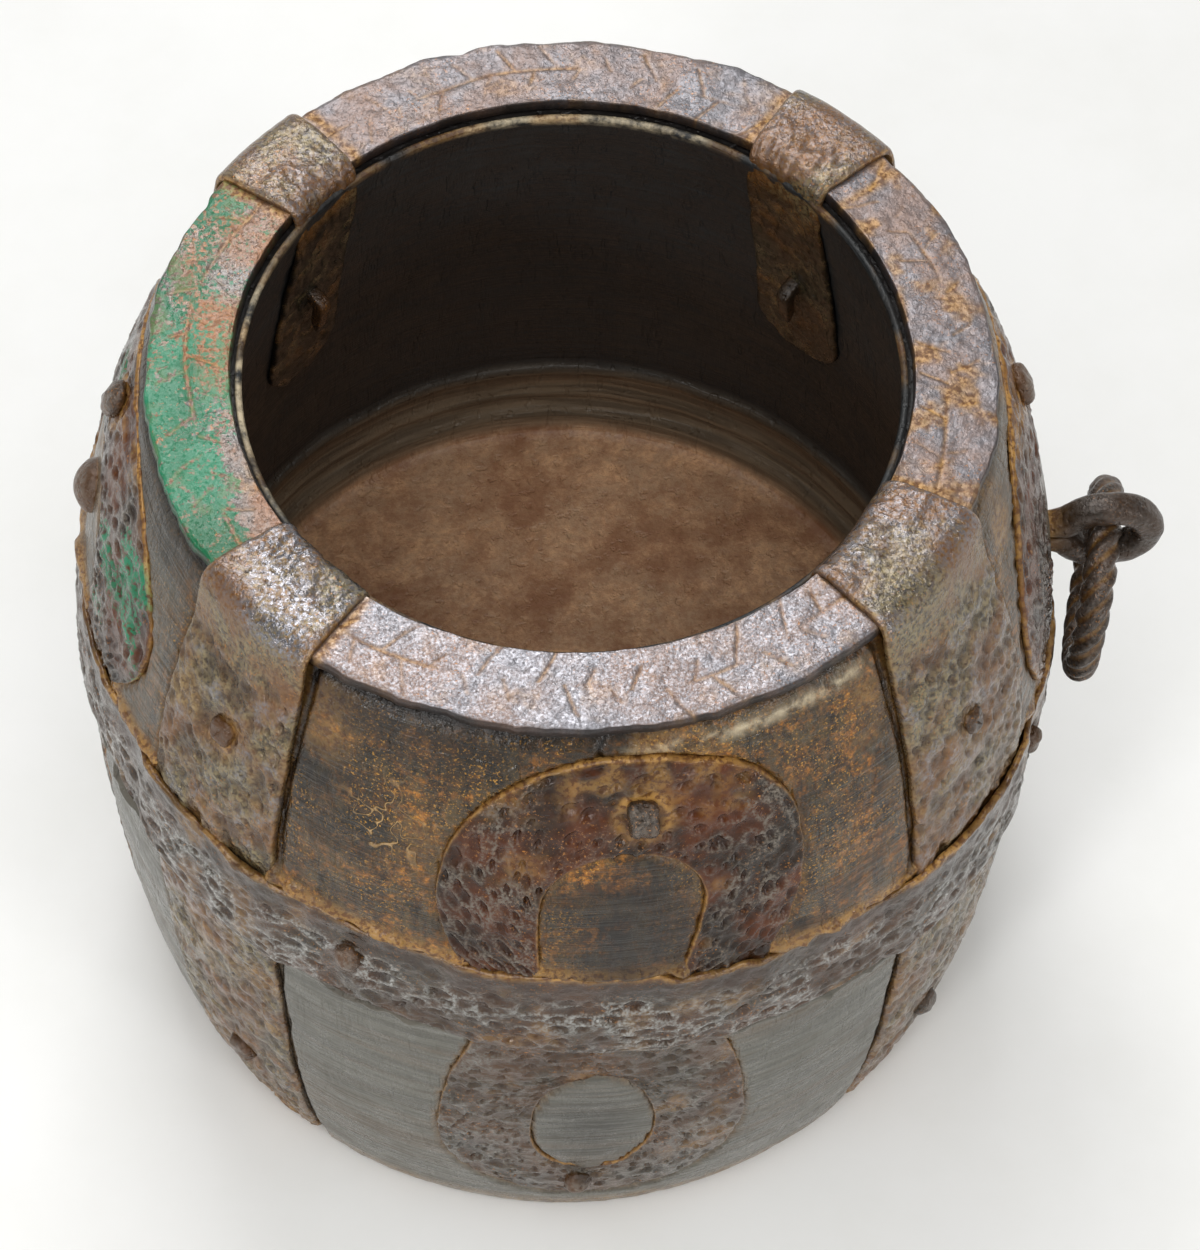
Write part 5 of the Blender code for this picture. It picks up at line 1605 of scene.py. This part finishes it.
def eye_staple(seed=471):
    """A bar carried round an oval, and back along two legs side by side through the wall, splayed
    over the inside."""
    wall = EYE_SKIN - float(inner_radius(EYE_HEIGHT))
    long, tall = ((hole + EYE_BAR) / 2 for hole in EYE_HOLE)
    start = np.radians(180 - 26)
    turn = np.linspace(start, -start, 49)
    loop = np.stack([EYE_REACH + long * np.cos(turn), tall * np.sin(turn)], -1)
    face = facing(inner_radius, np.array([EYE_HEIGHT]), -1)[0]
    rise = np.array([-face[1], face[0]]) * np.sign(face[0])
    bend = np.array([-wall, 0.0]) + face * (GAP + LEG_HALF)

    def leg(way):
        splayed = [bend + way * rise * reach for reach in LEG_SPLAY]
        splayed[-1] = splayed[-1] + (0.6, 0)
        return np.array(splayed + [(x, way * LEG_APART) for x in (1.1 - wall, -0.5 * wall, 0.6)])

    line = rounded_path(np.concatenate([leg(1), loop, leg(-1)[::-1]]), 190, 2.4)
    run = run_along(line)
    full = smooth(line[:, 0], 0.5, 4.5)
    thin = 0.6 + 0.4 * smooth(np.minimum(run, run[-1] - run), 0, 3.0)
    path = np.stack([EYE_SKIN + line[:, 0], 0 * run, EYE_HEIGHT + line[:, 1]], -1)
    half_flat = (LEG_HALF + full * (EYE_BAR / 2 - LEG_HALF)) * thin
    half_side = (0.46 + full * 0.04) * EYE_BAR
    rings = carry(path, np.array([0.0, 1.0, 0.0]), half_side, half_flat, 2.6, 30, seed, 0.07)
    # The loop outside the wall is lighter, partly as a painted highlight.
    marks = {"dirt": 0.7 * bump(rings[..., 0] - EYE_SKIN, 2.5), "rub": 0.6 * full[:, None]}
    return spun(rings, path[0], path[-1], marks)


add_piece("eye_staple", eye_staple(), IRONS["ring_iron"])
print("eye at", round(EYE_SKIN + EYE_REACH, 2), "mm out and", round(EYE_HEIGHT, 2), "mm up")

# %% Twisted ring
RING_OUTSIDE, RING_CORNERS, RING_FLATS, RING_TURNS, RING_YAW = 33.5, 5.4, 4.3, 6, np.radians(12.0)


def twisted_ring(seed=481):
    """A square section that turns six times on its way round a circle, hung with its top in the
    eye and turned a little about the vertical."""
    middle = (RING_OUTSIDE - RING_CORNERS) / 2
    way_round, angle = circle(420)[:, None], circle(28)[None, :]
    reach = RING_FLATS / 2 + (RING_CORNERS - RING_FLATS) / 2 * np.cos(2 * angle) ** 2
    s, c = middle * np.sin(way_round), middle * np.cos(way_round)
    spot = np.stack(np.broadcast_arrays(s, c, np.cos(angle)), -1)
    reach = np.minimum(reach * (1 + 0.05 * lumps(spot, 1.8, seed, 2)), RING_CORNERS / 2)
    twist = angle + RING_TURNS * way_round
    radial, aside = middle + reach * np.cos(twist), reach * np.sin(twist)
    along = radial * np.sin(way_round)
    x = EYE_SKIN + EYE_REACH + aside * np.cos(RING_YAW) + along * np.sin(RING_YAW)
    y = along * np.cos(RING_YAW) - aside * np.sin(RING_YAW)
    rings = np.stack([x, y, EYE_HEIGHT - middle + radial * np.cos(way_round)], -1)
    groove = smooth(-reach, -2.35, -2.2)
    # The ridges are lighter as painted highlights, and the grooves darker as painted shade.
    return hoop(rings, {"dirt": 0.35 * groove, "rub": 1 - groove, "dent_rust_and_shade": 0.7 * groove})


add_piece("twisted_ring", twisted_ring(), IRONS["ring_iron"], "ring")
print("ring:", COUNT["twisted_ring"], "triangles; all pieces:", sum(COUNT.values()))

# %% [markdown]
# ## Floor and light
# The measure stands on a plain white ground in soft daylight. A large soft lamp behind and above it
# is mirrored by the rim, which gives the iron its silvery sheen, and the pale sky fills the
# shadows. The levels are plain ones, at which a white surface renders just about white. The lamps
# don't reach the far floor, so there the eye and mirrored views are simply shown white paper. That
# light falls on nothing, and near the measure the floor keeps its shadow.

# %% Floor
FLOOR_HALF, FLOOR_SINK, SWEEP_START, SWEEP_RISE, FLOOR_POINTS = 5.0, 0.0004, 2.5, 1.5, 41
WHITE_FROM, WHITE_FULL = 0.5, 1.6
PAPER, PAPER_MOTTLE, FAR_WHITE = rgb(245, 245, 243), rgb(241, 241, 238), rgb(250, 250, 248)


def paper_finish():
    """Faintly mottled white, which gives way to plain white with the distance from the middle."""
    made, tree, paper, where = new_finish("pale_floor")
    colour = between(tree, cloud(tree, where, 26.0, 0.35, 0.75, 6.0, 0.6), PAPER, PAPER_MOTTLE)
    tree.links.new(colour, paper.inputs["Base Color"])
    paper.inputs["Roughness"].default_value = 0.7
    away = add_node(tree, "ShaderNodeVectorMath", {0: where}, operation="LENGTH").outputs["Value"]
    far = ranged(tree, away, WHITE_FROM, WHITE_FULL, steps="SMOOTHSTEP")
    ray = add_node(tree, "ShaderNodeLightPath").outputs
    seen = sums(tree, "MAXIMUM", ray["Is Camera Ray"], ray["Is Glossy Ray"])
    seen = sums(tree, "MAXIMUM", seen, ray["Is Transmission Ray"])
    white = add_node(tree, "ShaderNodeEmission", {"Color": FAR_WHITE, "Strength": 1.0})
    choice = {0: times(tree, far, seen), 1: paper.outputs[0], 2: white.outputs[0]}
    shown = add_node(tree, "ShaderNodeMixShader", choice)
    tree.links.new(shown.outputs[0], tree.nodes["Material Output"].inputs["Surface"])
    return made


def pale_floor():
    """A wide flat grid that sweeps up far behind the measure, like a sheet of paper in a studio."""
    side = np.linspace(-FLOOR_HALF, FLOOR_HALF, FLOOR_POINTS)
    x, y = np.meshgrid(side, side, indexing="ij")
    z = SWEEP_RISE * smooth(np.hypot(x, y), SWEEP_START, FLOOR_HALF) - FLOOR_SINK
    corners = squares(np.arange(x.size).reshape(x.shape))[:, ::-1]
    mesh = bpy.data.meshes.new("floor")
    mesh.from_pydata(np.stack([x, y, z], -1).reshape(-1, 3).tolist(), [], corners.tolist())
    mesh.materials.append(paper_finish())
    floor = bpy.data.objects.new("floor", mesh)
    bpy.context.scene.collection.objects.link(floor)
    return floor


print("floor:", len(pale_floor().data.polygons), "squares")

# %% Lamps and sky
LAMP_AIM, SKY_LIGHT = np.array((0.0, 0.0, 0.08)), 0.25
LAMPS = {  # place and size in metres, and power in watts
    "window": ((-0.12, 0.80, 1.25), 0.6, 8.5),
    "overhead": ((-0.05, -0.45, 1.40), 1.1, 11.5),
    "left_front": ((-0.85, -1.15, 0.75), 0.25, 5.4),
    "right_front": ((0.95, -1.05, 0.60), 0.25, 3.2),
}
for name, (spot, size, watts) in LAMPS.items():
    data = bpy.data.lights.new(name, "AREA")
    data.shape, data.size, data.energy = "SQUARE", size, watts
    back = unit(np.array(spot) - LAMP_AIM)
    right = unit(np.cross(VERTICAL, back))
    stand(bpy.data.objects.new(name, data), right, np.cross(back, right), back, spot)
world = bpy.data.worlds.new("sky")
bpy.context.scene.world = world
world.use_nodes = True
sky = world.node_tree.nodes["Background"].inputs
sky["Color"].default_value, sky["Strength"].default_value = (1, 1, 1, 1), SKY_LIGHT
bpy.context.scene.view_settings.view_transform = "Standard"
print("lamps:", ", ".join(LAMPS))
